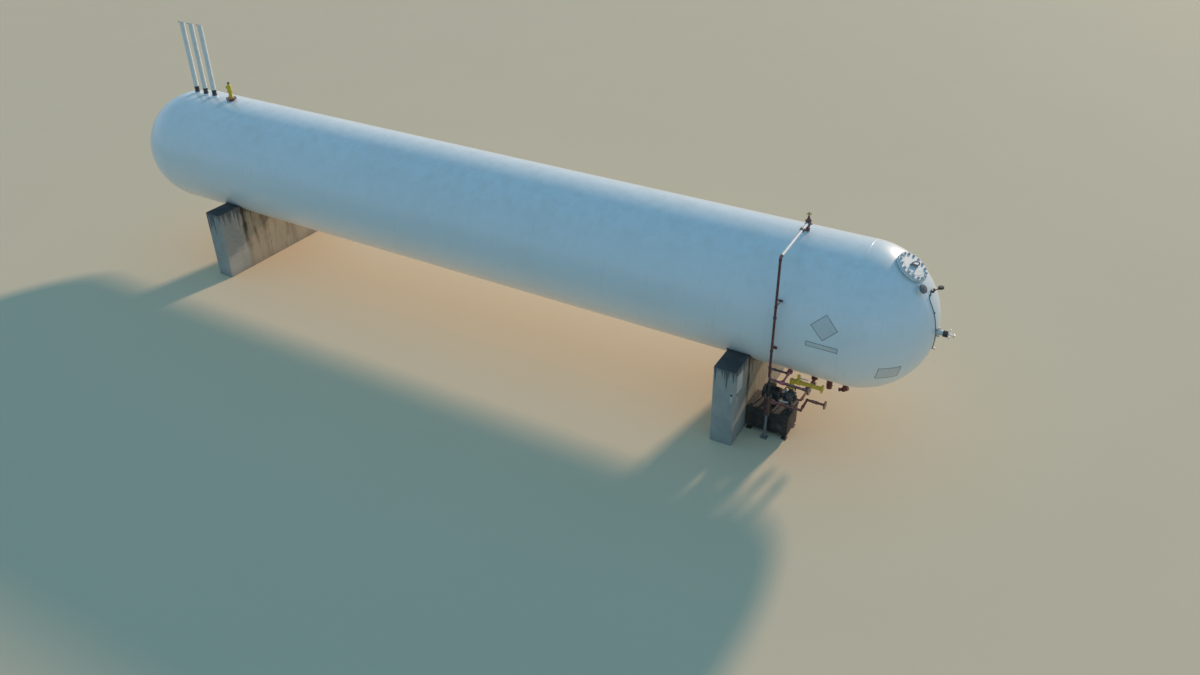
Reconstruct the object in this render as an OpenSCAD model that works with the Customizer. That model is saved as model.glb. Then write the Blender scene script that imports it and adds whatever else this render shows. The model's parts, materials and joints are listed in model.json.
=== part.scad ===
// Horizontal pressure tank for liquefied gas on two concrete saddles, with its top, head and bottom fittings.
// Millimetres. X runs along the tank, Z is up, the floor is Z = 0.
// The origin is the middle of the near saddle's underside. The manway head is on the +X side.
// The viewer of the source photograph stands on the -Y side.

/* [Tank] */
// Outside diameter of shell and heads
tank_od = 2768; // [2600:2:2900]
// Length of the straight shell between the two head seams
shell_len = 17320; // [16500:20:18200]
// Plate thickness of shell and heads
wall = 16; // [12:1:22]
// Height of the tank axis above the floor
axis_h = 2586; // [2550:2:2640]
// Distance from the near saddle to the near head seam
overhang = 1930; // [1900:10:1990]

/* [Saddles] */
// Distance from the far head seam to the far saddle
far_overhang = 1830; // [1790:10:1900]
// Thickness of a saddle along the tank
saddle_t = 444; // [400:4:480]
// Width of a saddle across the tank
saddle_w = 3470; // [3200:10:3600]
// Height of the flat saddle top
saddle_top = 1700; // [1600:5:1760]
// Thickness of the felt strip in the saddle seat
felt_t = 12; // [8:1:16]
// How far the felt shows outside the saddle seat
felt_out = 25; // [15:5:40]
// Bevel of the upright saddle edges
saddle_bevel = 18; // [10:1:30]

/* [Manway] */
// Angle of the manway above the tank axis
manway_el = 57; // [55:0.5:59]
// Sideways angle of the manway from the tank's middle plane
manway_az = -4; // [-6:0.5:0]
// Outside diameter of the manway flange and cover
manway_od = 624; // [610:2:640]
// Thickness of the manway flange and of the cover
manway_plate = 26; // [24:1:30]
// Outside diameter of the manway neck
manway_neck_od = 440; // [420:5:460]
// Height of the manway neck above the head, in its middle
manway_neck_h = 2; // [1:1:8]
// Gap for the gasket between flange and cover
gasket_t = 4; // [2:1:6]
// Inside radius of the lifting handle
handle_r = 55; // [45:1:60]
// Length of the straight legs of the lifting handle
handle_leg = 50; // [40:1:60]
// Turn of the lifting handle on the cover
handle_turn = 40; // [30:1:50]
// Bar diameter of the lifting handle
handle_bar = 24; // [18:1:28]

/* [Vent stacks] */
// Distance from the far head seam to the farthest vent stack
stack_inset = 15; // [5:5:60]
// Spacing of the vent stacks
stack_pitch = 312; // [290:2:330]
// Height of a vent stack above the crown of the tank
stack_h = 1775; // [1600:5:1950]
// Outside diameter of a vent stack
stack_od = 114; // [108:1:120]
// Wall of a vent stack
stack_wall = 6; // [4:0.5:8]
// Outside diameter of the relief valve under a stack
relief_od = 108; // [104:1:114]
// Height of the relief valve
relief_h = 140; // [130:5:160]
// Height of the weld nozzle under the relief valve
vent_nozzle_h = 35; // [30:5:50]
// Outside diameter of the weld nozzle
vent_nozzle_od = 144; // [136:1:150]
// Diameter of the rain cap
cap_od = 130; // [124:1:140]
// Reach of the rain cap's counterweight from the pipe's middle
cap_reach = 134; // [126:1:145]

/* [Top valves] */
// Distance from the far head seam to the yellow valve
fill_inset = 1230; // [1190:10:1270]
// Diameter of the dark red flange under the yellow valve
fill_flange_od = 250; // [230:5:260]
// Height of the yellow valve above the crown
fill_h = 450; // [420:5:480]
// Distance from the near saddle to the vapour valve
vapour_x = 748; // [730:2:766]
// Height of the vapour valve above the crown
vapour_h = 349; // [340:1:360]
// Height of the vapour line above the crown
vapour_line_h = 175; // [170:1:185]
// Distance from the vapour valve to its coupling
coupling_out = 300; // [280:5:320]
// Diameter of the vapour handwheel
wheel_od = 104; // [98:2:112]

/* [Piping] */
// Outside diameter of the vapour and liquid lines
line_od = 48; // [44:1:52]
// Outside diameter of the white vapour arm
arm_od = 60; // [56:1:62]
// Bend radius of the line elbows
bend_r = 76; // [70:1:80]
// Bend radius of the tight elbow at the top of the drop pipe
top_bend = 48; // [42:1:54]
// Distance from the tank's side to the middle of the drop pipe
drop_gap = 116; // [90:2:130]
// Distance of the drop pipe from the near saddle
drop_x = 780; // [770:2:790]
// Drop from the tank axis to the level run of the vapour line
line_drop = 966; // [950:2:980]
// Distance from the drop pipe to the vapour line end
vapour_run = 770; // [740:5:820]
// Distance from the drop pipe to the cross pipe
cross_run = 255; // [240:5:290]
// Clearance between the cross pipe's end and the belly
cross_clear = 58; // [52:1:70]
// Flange diameter at the line ends
end_flange_od = 165; // [150:1:170]
// Flange thickness at the line ends
end_flange_t = 22; // [18:1:26]
// Bolt circle of the line end flanges
end_pcd = 127; // [122:1:128]
// Bolt hole diameter of the line end flanges
end_hole_d = 19; // [16:1:20]
// Bore of the line ends
line_bore = 40; // [36:1:42]
// Gap between the tank's side and the middle of the yellow line
yellow_gap = 195; // [180:5:205]
// Angle of the yellow line round the tank, counted from straight below
yellow_ang = 29; // [28:0.5:31]
// Outside diameter of the yellow line
yellow_od = 80; // [76:1:84]
// Distance of the yellow line end from the near saddle
yellow_end = 1600; // [1560:10:1660]
// Distance of the yellow valve from the near saddle
yellow_valve_x = 1120; // [1110:5:1160]

/* [Bottom outlets] */
// Distance of the first bottom outlet from the near saddle
outlet_x = 1210; // [1190:5:1230]
// Spacing of the bottom outlets
outlet_pitch = 315; // [300:5:330]
// Outside diameter of a bottom outlet
outlet_od = 114; // [105:1:118]
// Drop of the bottom outlets below the belly
outlet_drop = 480; // [460:5:500]

/* [Pump] */
// Height of the pump shaft above the lower end of the outlets
shaft_rise = 78; // [70:2:88]
// Distance of the pump outlet from the near saddle
pump_x = 1000; // [980:5:1020]
// Diameter of the pump casing
pump_od = 280; // [260:5:290]
// Diameter of the motor
motor_od = 270; // [250:5:280]
// Length of the motor
motor_len = 380; // [350:5:400]
// Length of the pump frame
frame_len = 830; // [810:5:850]
// Width of the pump frame
frame_w = 560; // [540:5:580]
// Depth of the pump frame's top below the pump shaft
frame_down = 240; // [230:2:250]
// Height of the feet under the pump frame
foot_h = 90; // [80:2:110]
// Size of the feet
leg = 110; // [90:2:130]
// Sheet thickness of the pump frame
sheet_t = 8; // [6:1:12]
// Diameter of the strainer pot
pot_od = 140; // [120:2:150]
// Height of the strainer pot
pot_h = 440; // [420:5:470]
// Depth of the grey post's top below the return line
post_down = 330; // [320:2:340]
// Distance of the grey post from the near saddle
post_x = 684; // [674:2:694]
// Distance of the grey post from the drop pipe, toward the tank's middle
post_in = 334; // [320:2:346]
// Diameter of the grey post
post_od = 60; // [54:1:66]
// Height of the return line above the pump shaft
return_rise = 90; // [84:2:100]
// Distance from the near saddle to the return line's jog
jog_x = 1340; // [1320:5:1360]
// Sideways jog of the return line
jog_y = 365; // [350:5:375]
// Distance of the return line end from the near saddle
return_end = 1700; // [1660:10:1760]

/* [Plates] */
// Distance from the near head seam back to the middle of the side plates
plate_back = 300; // [280:5:305]
// Angle of the square plate round the tank, counted from the top
diamond_ang = 77; // [75:0.5:78]
// Angle of the long plate round the tank, counted from the top
strip_ang = 92.5; // [91.5:0.5:95]
// Length of the long plate
strip_len = 590; // [560:10:600]
// Width of the long plate
strip_w = 110; // [100:5:125]
// Side of the square plate that stands on its corner
diamond_side = 360; // [320:5:380]
// Height of the blank plate on the near head
head_plate_h = 300; // [260:5:320]
// Width of the blank plate on the near head
head_plate_w = 440; // [400:5:460]
// Depth of the saddle plate's lower edge below the saddle top
saddle_plate_down = 560; // [540:5:590]
// Height of the saddle plate
saddle_plate_h = 420; // [400:5:440]
// Width of the saddle plate
saddle_plate_w = 300; // [280:5:320]
// Thickness of the blank plates
plate_t = 3; // [2:0.5:4]

/* [Hidden] */
$fn = 64;
rad = tank_od / 2;
crown_z = axis_h + rad;
near_x = overhang;
far_x = overhang - shell_len;
seat_r = rad + felt_t;
reach = rad + 400;
drop_y = rad + drop_gap;
drop_end_z = axis_h - line_drop;
cross_in = sqrt(pow(rad + cross_clear, 2) - pow(line_drop, 2));
cross_len = drop_y - cross_in;
post_y = drop_y - post_in;
saddle_far_x = far_x + far_overhang;
stack_x0 = far_x + stack_inset;
fill_at = far_x + fill_inset;
yellow_y = (rad + yellow_gap) * sin(yellow_ang);
yellow_z = axis_h - (rad + yellow_gap) * cos(yellow_ang);
outlet_z = axis_h - rad - outlet_drop;
pump_y = yellow_y;
pump_z = outlet_z + shaft_rise;
frame_h = pump_z - frame_down;
return_z = pump_z + return_rise;
post_h = return_z - post_down;
casing_t = 140;
casing_x = pump_x - casing_t / 2;
nose_x = casing_x + casing_t + 40;
motor_x = casing_x - 90 - motor_len;
pump_top = pump_z + pump_od / 2 + 110;

// Places its children on the near head, with +Z pointing out of the head.
module on_head(el, az) {
  translate([near_x, 0, axis_h])
    rotate([0, 0, az])
      rotate([0, 90 - el, 0])
        children();
}

// A round bar along +X from the origin.
module bar_x(d, len) {
  rotate([0, 90, 0])
    cylinder(d = d, h = len);
}

// A round bar along -Y from the origin.
module bar_y(d, len) {
  rotate([90, 0, 0])
    cylinder(d = d, h = len);
}

// A quarter bend in the XZ plane. It starts at the origin going down and leaves toward +X.
module bend_down_x(d) {
  translate([bend_r, 0, 0])
    rotate([90, 0, 0])
      rotate([0, 0, 180])
        rotate_extrude(angle = 90)
          translate([bend_r, 0])
            circle(d = d);
}

// A bolted flange with its open face at the origin, facing +X, with the bore running inward.
module end_flange() {
  difference() {
    translate([-end_flange_t, 0, 0])
      bar_x(end_flange_od, end_flange_t);
    for (i = [0 : 7])
      rotate([i * 45 + 22.5, 0, 0])
        translate([-end_flange_t - 1, 0, end_pcd / 2])
          bar_x(end_hole_d, end_flange_t + 2);
  }
}

module shell() {
  color([0.93, 0.94, 0.94])
    translate([far_x, 0, axis_h])
      difference() {
        bar_x(tank_od, shell_len, $fn = 128);
        translate([-1, 0, 0])
          bar_x(tank_od - 2 * wall, shell_len + 2, $fn = 128);
      }
}

// A half ball shell with its round side toward +X.
module head() {
  intersection() {
    difference() {
      sphere(d = tank_od, $fn = 240);
      sphere(d = tank_od - 2 * wall, $fn = 240);
    }
    translate([0, -rad - 1, -rad - 1])
      cube([rad + 1, 2 * rad + 2, 2 * rad + 2]);
  }
}

module head_near() {
  color([0.93, 0.94, 0.94])
    translate([near_x, 0, axis_h])
      head();
}

module head_far() {
  color([0.93, 0.94, 0.94])
    translate([far_x, 0, axis_h])
      mirror([1, 0, 0])
        head();
}

// One concrete pier wall with a round seat for tank and felt.
module saddle() {
  difference() {
    linear_extrude(height = saddle_top)
      polygon([
        [-saddle_t / 2, -saddle_w / 2 + saddle_bevel],
        [-saddle_t / 2 + saddle_bevel, -saddle_w / 2],
        [saddle_t / 2 - saddle_bevel, -saddle_w / 2],
        [saddle_t / 2, -saddle_w / 2 + saddle_bevel],
        [saddle_t / 2, saddle_w / 2 - saddle_bevel],
        [saddle_t / 2 - saddle_bevel, saddle_w / 2],
        [-saddle_t / 2 + saddle_bevel, saddle_w / 2],
        [-saddle_t / 2, saddle_w / 2 - saddle_bevel]]);
    translate([-saddle_t, 0, axis_h])
      bar_x(2 * seat_r, 2 * saddle_t, $fn = 128);
  }
}

module saddle_near() {
  color([0.62, 0.62, 0.58])
    saddle();
}

module saddle_far() {
  color([0.62, 0.62, 0.58])
    translate([saddle_far_x, 0, 0])
      saddle();
}

// The felt strip between seat and tank, a little larger than the seat.
module felt() {
  felt_w = saddle_t + 2 * felt_out;
  intersection() {
    translate([-felt_w / 2, 0, axis_h])
      difference() {
        bar_x(2 * seat_r, felt_w, $fn = 360);
        translate([-1, 0, 0])
          bar_x(tank_od, felt_w + 2, $fn = 360);
      }
    translate([-felt_w, -reach, 0])
      cube([2 * felt_w, 2 * reach, saddle_top + felt_out]);
  }
}

module felt_strips() {
  color([0.05, 0.05, 0.05]) {
    felt();
    translate([saddle_far_x, 0, 0])
      felt();
  }
}

module manway_neck() {
  color([0.93, 0.94, 0.94])
    difference() {
      on_head(manway_el, manway_az)
        union() {
          translate([0, 0, rad - 60])
            cylinder(d = manway_neck_od, h = 60 + manway_neck_h);
          translate([0, 0, rad + manway_neck_h])
            cylinder(d = manway_od, h = manway_plate);
        }
      translate([near_x, 0, axis_h])
        sphere(d = tank_od, $fn = 360);
      on_head(manway_el, manway_az)
        translate([0, 0, rad - 80])
          cylinder(d = manway_neck_od - 60, h = 80 + manway_neck_h + manway_plate + 1);
    }
}

module manway_cover() {
  color([0.94, 0.95, 0.95])
    on_head(manway_el, manway_az)
      translate([0, 0, rad + manway_neck_h + manway_plate]) {
        cylinder(d = manway_neck_od - 20, h = gasket_t + 1);
        translate([0, 0, gasket_t])
          cylinder(d = manway_od, h = manway_plate);
      }
}

module manway_handle() {
  color([0.6, 0.61, 0.62])
    on_head(manway_el, manway_az)
      translate([0, 0, rad + manway_neck_h + 2 * manway_plate + gasket_t])
        rotate([0, 0, handle_turn])
          union() {
            for (s = [-1, 1])
              translate([s * (handle_r + handle_bar / 2), 0, 0])
                cylinder(d = handle_bar, h = handle_leg);
            translate([0, 0, handle_leg])
              rotate([90, 0, 0])
                rotate_extrude(angle = 180)
                  translate([handle_r + handle_bar / 2, 0])
                    circle(d = handle_bar);
          }
}

module vent_nozzles() {
  color([0.92, 0.93, 0.93])
    for (i = [0 : 2])
      difference() {
        translate([stack_x0 + i * stack_pitch, 0, crown_z - 20])
          cylinder(d = vent_nozzle_od, h = 20 + vent_nozzle_h);
        translate([far_x, 0, axis_h])
          bar_x(tank_od, shell_len, $fn = 360);
        translate([far_x, 0, axis_h])
          sphere(d = tank_od, $fn = 360);
      }
}

module relief_valves() {
  color([0.06, 0.06, 0.07])
    for (i = [0 : 2])
      translate([stack_x0 + i * stack_pitch, 0, crown_z + vent_nozzle_h])
        union() {
          cylinder(d = relief_od, h = relief_h);
          cylinder(d = relief_od + 10, h = relief_h * 0.25);
          translate([0, 0, relief_h * 0.75])
            cylinder(d = relief_od + 10, h = relief_h * 0.25);
        }
}

// Open vent pipes that stand on the relief valves.
module vent_stacks() {
  z0 = crown_z + vent_nozzle_h + relief_h;
  color([0.93, 0.93, 0.92])
    for (i = [0 : 2])
      translate([stack_x0 + i * stack_pitch, 0, z0])
        difference() {
          cylinder(d = stack_od, h = crown_z + stack_h - z0);
          translate([0, 0, 60])
            cylinder(d = stack_od - 2 * stack_wall, h = stack_h);
        }
}

// Hinged rain caps that lie on the pipe mouths, each with a lever and a counterweight on the far side.
module rain_caps() {
  color([0.55, 0.56, 0.57])
    for (i = [0 : 2])
      translate([stack_x0 + i * stack_pitch, 0, crown_z + stack_h]) {
        cylinder(d = cap_od, h = 6);
        translate([-cap_reach + 14, -11, 5])
          cube([cap_reach - 14, 22, 8]);
        translate([-cap_reach + 14, 0, -12])
          cylinder(d = 28, h = 25);
        translate([-stack_od / 2 - 8, -18, -34])
          cube([8, 36, 35]);
      }
}

module fill_flange() {
  color([0.32, 0.06, 0.06])
    difference() {
      translate([fill_at, 0, crown_z - 15])
        union() {
          cylinder(d = fill_flange_od * 0.6, h = 45);
          translate([0, 0, 35])
            cylinder(d = fill_flange_od, h = 40);
        }
      translate([far_x, 0, axis_h])
        bar_x(tank_od, shell_len, $fn = 128);
    }
}

module fill_valve() {
  color([0.86, 0.72, 0.12])
    translate([fill_at, 0, crown_z + 60])
      union() {
        cylinder(d = 130, h = 40);
        cylinder(d = 94, h = fill_h - 110);
        translate([0, 0, 130])
          cylinder(d = 116, h = 70);
        translate([-90, 0, 270])
          bar_x(60, 90);
        translate([0, 0, fill_h - 111])
          cylinder(d = 70, h = 31);
      }
}

module fill_cap() {
  color([0.12, 0.08, 0.07])
    translate([fill_at, 0, crown_z + fill_h - 20])
      cylinder(d = 60, h = 30);
}

module vapour_nozzle() {
  color([0.92, 0.93, 0.93])
    difference() {
      translate([vapour_x, 0, crown_z - 20])
        cylinder(d = 104, h = 30);
      translate([far_x, 0, axis_h])
        bar_x(tank_od, shell_len, $fn = 240);
    }
}

module vapour_valve() {
  color([0.35, 0.05, 0.08])
    translate([vapour_x, 0, crown_z + 10])
      union() {
        cylinder(d = 72, h = vapour_line_h);
        cylinder(d1 = 84, d2 = 72, h = 20);
        translate([0, 0, vapour_line_h - 65])
          cylinder(d = 96, h = 85);
        translate([0, 0, vapour_line_h + 20])
          cylinder(d = 118, h = 24);
        translate([0, 0, vapour_line_h + 40])
          cylinder(d1 = 74, d2 = 40, h = vapour_h - vapour_line_h - 100);
        cylinder(d = 22, h = vapour_h - 22);
        translate([0, 0, vapour_line_h - 10])
          bar_y(78, 80);
      }
}

module vapour_wheel() {
  color([0.80, 0.68, 0.28])
    translate([vapour_x, 0, crown_z + vapour_h])
      union() {
        rotate_extrude()
          translate([wheel_od / 2 - 9, 0])
            circle(d = 18);
        translate([0, 0, -14])
          cylinder(d = 36, h = 28);
        for (a = [0, 60, 120])
          rotate([0, 0, a])
            translate([-wheel_od / 2 + 9, -5, -4])
              cube([wheel_od - 18, 10, 8]);
      }
}

// Height of the level vapour line and the small turn it makes from the valve to the drop pipe.
vapour_z = crown_z + vapour_line_h;
arm_turn = atan((drop_x - vapour_x) / drop_y);
arm_long = sqrt(pow(drop_x - vapour_x, 2) + pow(drop_y, 2));

module vapour_coupling() {
  color([0.05, 0.05, 0.06])
    translate([vapour_x, 0, vapour_z])
      rotate([0, 0, arm_turn])
        translate([0, -coupling_out, 0])
          union() {
            bar_y(88, 86);
            translate([0, -22, 0])
              bar_y(98, 42);
          }
}

// The level pipe in two lengths, on both sides of the coupling.
module vapour_arm() {
  color([0.90, 0.91, 0.91])
    translate([vapour_x, 0, vapour_z])
      rotate([0, 0, arm_turn]) {
        translate([0, -80, 0])
          bar_y(arm_od, coupling_out - 80);
        translate([0, -coupling_out - 86, 0])
          bar_y(arm_od, arm_long - coupling_out - 86 - top_bend - 20);
      }
}

module drop_pipe() {
  color([0.36, 0.05, 0.09])
    translate([drop_x, -drop_y, 0])
      difference() {
        union() {
          translate([0, 0, drop_end_z + bend_r])
            cylinder(d = line_od, h = vapour_z - top_bend - drop_end_z - bend_r);
          translate([0, 0, vapour_z])
            rotate([0, 0, arm_turn])
              union() {
                translate([0, top_bend, -top_bend])
                  rotate([0, -90, 0])
                    rotate([180, 0, 0])
                      rotate_extrude(angle = 90)
                        translate([top_bend, 0])
                          circle(d = line_od + 8);
                translate([0, top_bend + 20, 0])
                  bar_y(line_od + 12, 21);
                translate([0, 0, -top_bend - 20])
                  cylinder(d = line_od + 12, h = 21);
              }
          translate([0, 0, drop_end_z + bend_r])
            bend_down_x(line_od);
          translate([bend_r, 0, drop_end_z])
            bar_x(line_od, vapour_run - bend_r - 2);
          translate([vapour_run, 0, drop_end_z])
            end_flange();
        }
        translate([vapour_run - 150, 0, drop_end_z])
          bar_x(line_bore, 151);
      }
}

// Cross pipe under the belly with a capped end, and the upright from it down to the pot.
module cross_pipe() {
  by_d = line_od - 8;
  column_run = post_x - drop_x - cross_run;
  color([0.50, 0.12, 0.16])
    translate([drop_x + cross_run, -drop_y, drop_end_z])
      difference() {
        union() {
          translate([0, cross_len, 0])
            bar_y(by_d, cross_len);
          translate([0, cross_len, 0])
            bar_y(104, 16);
          translate([0, cross_len - 20, 0])
            bar_y(104, 16);
          translate([0, 60, 0])
            bar_y(line_od + 22, 60);
          translate([column_run, drop_y - post_y, 0])
            bar_x(by_d, -column_run);
          translate([column_run, drop_y - post_y, 0])
            sphere(d = line_od + 10);
          translate([column_run, drop_y - post_y, post_h + pot_h - drop_end_z])
            cylinder(d = by_d, h = drop_end_z - post_h - pot_h);
        }
        translate([-cross_run, 0, 0])
          bar_x(line_od, vapour_run);
      }
}

module head_nozzle() {
  color([0.90, 0.89, 0.91])
    difference() {
      on_head(41, -17.7)
        translate([0, 0, rad - 20])
          cylinder(d = 130, h = 88);
      translate([near_x, 0, axis_h])
        sphere(d = tank_od, $fn = 360);
    }
}

module head_nozzle_cap() {
  color([0.42, 0.44, 0.46])
    on_head(41, -17.7)
      translate([0, 0, rad + 68])
        union() {
          cylinder(d = 160, h = 42);
          cylinder(d = 74, h = 52);
        }
}

module gauge_block() {
  color([0.05, 0.05, 0.05])
    difference() {
      on_head(34, 0)
        union() {
          translate([0, 0, rad - 10])
            cylinder(d = 44, h = 46);
          translate([-20, -62, rad + 24])
            cube([40, 124, 34]);
        }
      translate([near_x, 0, axis_h])
        sphere(d = tank_od, $fn = 360);
    }
}

module pressure_gauge() {
  color([0.16, 0.14, 0.10])
    on_head(34, 0)
      union() {
        translate([0, 0, rad + 58])
          cylinder(d = 18, h = 100);
        translate([-14, 0, rad + 186])
          rotate([0, 112, 0])
            translate([0, 0, -20])
              cylinder(d = 110, h = 40);
      }
}

// The tube lies on the head along a round arc that bows toward the viewer.
tube_d = 12;
tube_top_el = 33;
tube_low_el = -13;
tube_side = 15;
tube_bow = 200;
tube_r = rad + tube_d / 2 + 0.3;
tube_mid_el = (tube_top_el + tube_low_el) / 2;
tube_half = (tube_top_el - tube_low_el) / 2;
tube_v = tube_r * sin(tube_half);
tube_u0 = sqrt(pow(tube_r, 2) - pow(tube_v, 2) - pow(tube_side, 2));
tube_u1 = sqrt(pow(tube_r, 2) - pow(tube_bow, 2));
tube_tilt = atan((tube_bow - tube_side) / (tube_u1 - tube_u0));
tube_off = tube_u0 * sin(tube_tilt) - tube_side * cos(tube_tilt);
tube_arc_r = sqrt(pow(tube_r, 2) - pow(tube_off, 2));
tube_arc_half = asin(tube_v / tube_arc_r);

module gauge_tube() {
  color([0.20, 0.22, 0.23])
    translate([near_x, 0, axis_h])
      rotate([0, -tube_mid_el, 0])
        rotate([0, 0, -tube_tilt])
          translate([0, tube_off, 0])
            rotate([90, 0, 0])
              rotate([0, 0, -tube_arc_half])
                rotate_extrude(angle = 2 * tube_arc_half, $fn = 96)
                  translate([tube_arc_r, 0])
                    circle(d = tube_d, $fn = 24);
}

module tube_fitting() {
  color([0.72, 0.68, 0.68])
    difference() {
      on_head(-14.5, 0)
        translate([0, 0, rad - 10])
          cylinder(d = 46, h = 70);
      translate([near_x, 0, axis_h])
        sphere(d = tank_od, $fn = 360);
    }
}

module level_neck() {
  color([0.88, 0.88, 0.92])
    difference() {
      translate([near_x + rad - 20, 0, axis_h])
        union() {
          bar_x(96, 116);
          translate([26, 0, 0])
            bar_x(190, 22);
        }
      translate([near_x, 0, axis_h])
        sphere(d = tank_od, $fn = 360);
    }
}

module level_ring() {
  color([0.04, 0.04, 0.05])
    translate([near_x + rad + 96, 0, axis_h])
      bar_x(122, 86);
}

module level_dial() {
  color([0.75, 0.76, 0.78])
    translate([near_x + rad + 182, 0, axis_h])
      union() {
        bar_x(90, 14);
        bar_x(28, 112);
        translate([20, -115, -8])
          cube([16, 230, 16]);
        translate([20, -8, -115])
          cube([16, 16, 230]);
        translate([90, -32, -32])
          cube([14, 64, 64]);
      }
}

// Three bottom outlets: a valve with a narrow neck, a wide one and one with a slanted tail.
module bottom_outlets() {
  color([0.33, 0.04, 0.05])
    for (i = [0 : 2])
      difference() {
        translate([outlet_x + i * outlet_pitch, 0, outlet_z])
          union() {
            cylinder(d = outlet_od - 26, h = outlet_drop + 20);
            cylinder(d = outlet_od, h = 180);
            if (i == 0)
              translate([0, 0, 300])
                cylinder(d = outlet_od + 50, h = 60);
            if (i == 1)
              translate([0, 0, 190])
                cylinder(d = outlet_od + 40, h = 210);
            if (i == 2)
              translate([0, 0, 190])
                cylinder(d = outlet_od + 16, h = 210);
          }
        translate([far_x, 0, axis_h])
          bar_x(tank_od, shell_len + 200, $fn = 128);
      }
}

// Liquid line from the first outlet to the end of the pump.
module suction_pipe() {
  color([0.38, 0.06, 0.08])
    difference() {
      union() {
        translate([outlet_x, 0, pump_z])
          bar_y(line_od, pump_y);
        translate([outlet_x, -pump_y, pump_z])
          sphere(d = line_od + 14);
        translate([nose_x, -pump_y, pump_z])
          bar_x(line_od, outlet_x - nose_x);
        translate([outlet_x, -pump_y * 0.45, pump_z])
          bar_y(130, 20);
        translate([outlet_x, -pump_y * 0.45 - 22, pump_z])
          bar_y(130, 20);
        translate([outlet_x, -pump_y * 0.45, pump_z])
          bar_y(100, 50);
      }
      translate([outlet_x, 0, outlet_z - 1])
        cylinder(d = outlet_od, h = 181);
      translate([outlet_x, 0, outlet_z])
        cylinder(d = outlet_od - 26, h = outlet_drop);
    }
}

module pump_body() {
  color([0.07, 0.07, 0.08])
    translate([casing_x, -pump_y, pump_z])
      union() {
        bar_x(pump_od, casing_t);
        bar_x(150, casing_t + 40);
        translate([-90, 0, 0])
          bar_x(130, 100);
        translate([pump_x - casing_x, 0, 0])
          cylinder(d = 92, h = pump_top - pump_z);
        translate([25, -75, frame_h - pump_z])
          cube([90, 150, pump_z - frame_h - 90]);
      }
}

module pump_motor() {
  color([0.10, 0.11, 0.12])
    translate([motor_x, -pump_y, pump_z])
      union() {
        bar_x(motor_od, motor_len - 30);
        bar_x(60, motor_len);
        translate([90, -60, motor_od / 2 - 25])
          cube([140, 120, 75]);
        translate([60, -95, frame_h - pump_z])
          cube([motor_len - 140, 190, pump_z - frame_h - 90]);
      }
}

// Sheet steel box under the pump, open below, on four feet.
module pump_base() {
  frame_x = casing_x + casing_t + 20 - frame_len;
  frame_y0 = -pump_y - 300;
  color([0.12, 0.13, 0.14])
    translate([frame_x, frame_y0, 0])
      union() {
        difference() {
          union() {
            translate([0, 0, foot_h])
              cube([frame_len, frame_w, frame_h - foot_h]);
            translate([-12, -12, frame_h - 40])
              cube([frame_len + 24, frame_w + 24, 40]);
          }
          translate([sheet_t, sheet_t, foot_h - 1])
            cube([frame_len - 2 * sheet_t, frame_w - 2 * sheet_t, frame_h - foot_h - sheet_t]);
        }
        for (x = [0, frame_len - leg])
          for (y = [0, frame_w - leg])
            translate([x, y, 0])
              cube([leg, leg, foot_h + 30]);
      }
}

module strainer_pot() {
  color([0.20, 0.05, 0.06])
    translate([post_x, -post_y, post_h])
      union() {
        cylinder(d = pot_od - 40, h = pot_h);
        translate([0, 0, 60])
          cylinder(d = pot_od, h = pot_h - 110);
        translate([0, 0, pot_h - 36])
          cylinder(d = pot_od + 14, h = 16);
        translate([0, 0, pot_h - 16])
          cylinder(d = pot_od + 14, h = 16);
      }
}

// Dark red return line from the pot, with a level jog, to its end flange.
module return_pipe() {
  end_y = jog_y - post_y;
  color([0.30, 0.04, 0.06])
    difference() {
      union() {
        translate([post_x, -post_y, return_z])
          bar_x(line_od, jog_x - post_x);
        translate([jog_x, -post_y, return_z])
          sphere(d = line_od + 12);
        translate([jog_x, end_y, return_z])
          bar_y(line_od, jog_y);
        translate([jog_x, end_y, return_z])
          sphere(d = line_od + 12);
        translate([jog_x, end_y, return_z])
          bar_x(line_od, return_end - jog_x - 2);
        translate([jog_x + 150, end_y, return_z])
          bar_x(line_od + 18, 60);
        translate([return_end, end_y, return_z])
          end_flange();
      }
      translate([return_end - 120, end_y, return_z])
        bar_x(line_bore, 121);
      translate([post_x, -post_y, post_h + 60])
        cylinder(d = pot_od, h = pot_h - 110);
    }
}

module pipe_post() {
  color([0.45, 0.47, 0.49])
    translate([post_x, -post_y, 0])
      union() {
        translate([-65, -65, 0])
          cube([130, 130, 12]);
        cylinder(d = post_od, h = post_h);
        translate([0, 0, post_h - 12])
          cylinder(d = pot_od - 20, h = 12);
      }
}

module yellow_pipe() {
  color([0.80, 0.68, 0.10])
    difference() {
      union() {
        translate([pump_x, -yellow_y, yellow_z])
          bar_x(yellow_od, yellow_end - pump_x - 2);
        translate([pump_x, -yellow_y, yellow_z])
          sphere(d = yellow_od + 16);
        translate([pump_x, -yellow_y, pump_top])
          cylinder(d = yellow_od, h = yellow_z - pump_top);
        translate([yellow_end, -yellow_y, yellow_z])
          end_flange();
      }
      translate([yellow_end - 120, -yellow_y, yellow_z])
        bar_x(line_bore, 121);
    }
}

module yellow_valve() {
  color([0.88, 0.74, 0.16])
    translate([yellow_valve_x, -yellow_y, yellow_z])
      difference() {
        union() {
          translate([-55, 0, 0])
            bar_x(112, 110);
          cylinder(d = 60, h = 96);
        }
        translate([-60, 0, 0])
          bar_x(yellow_od, 120);
      }
}

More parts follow.
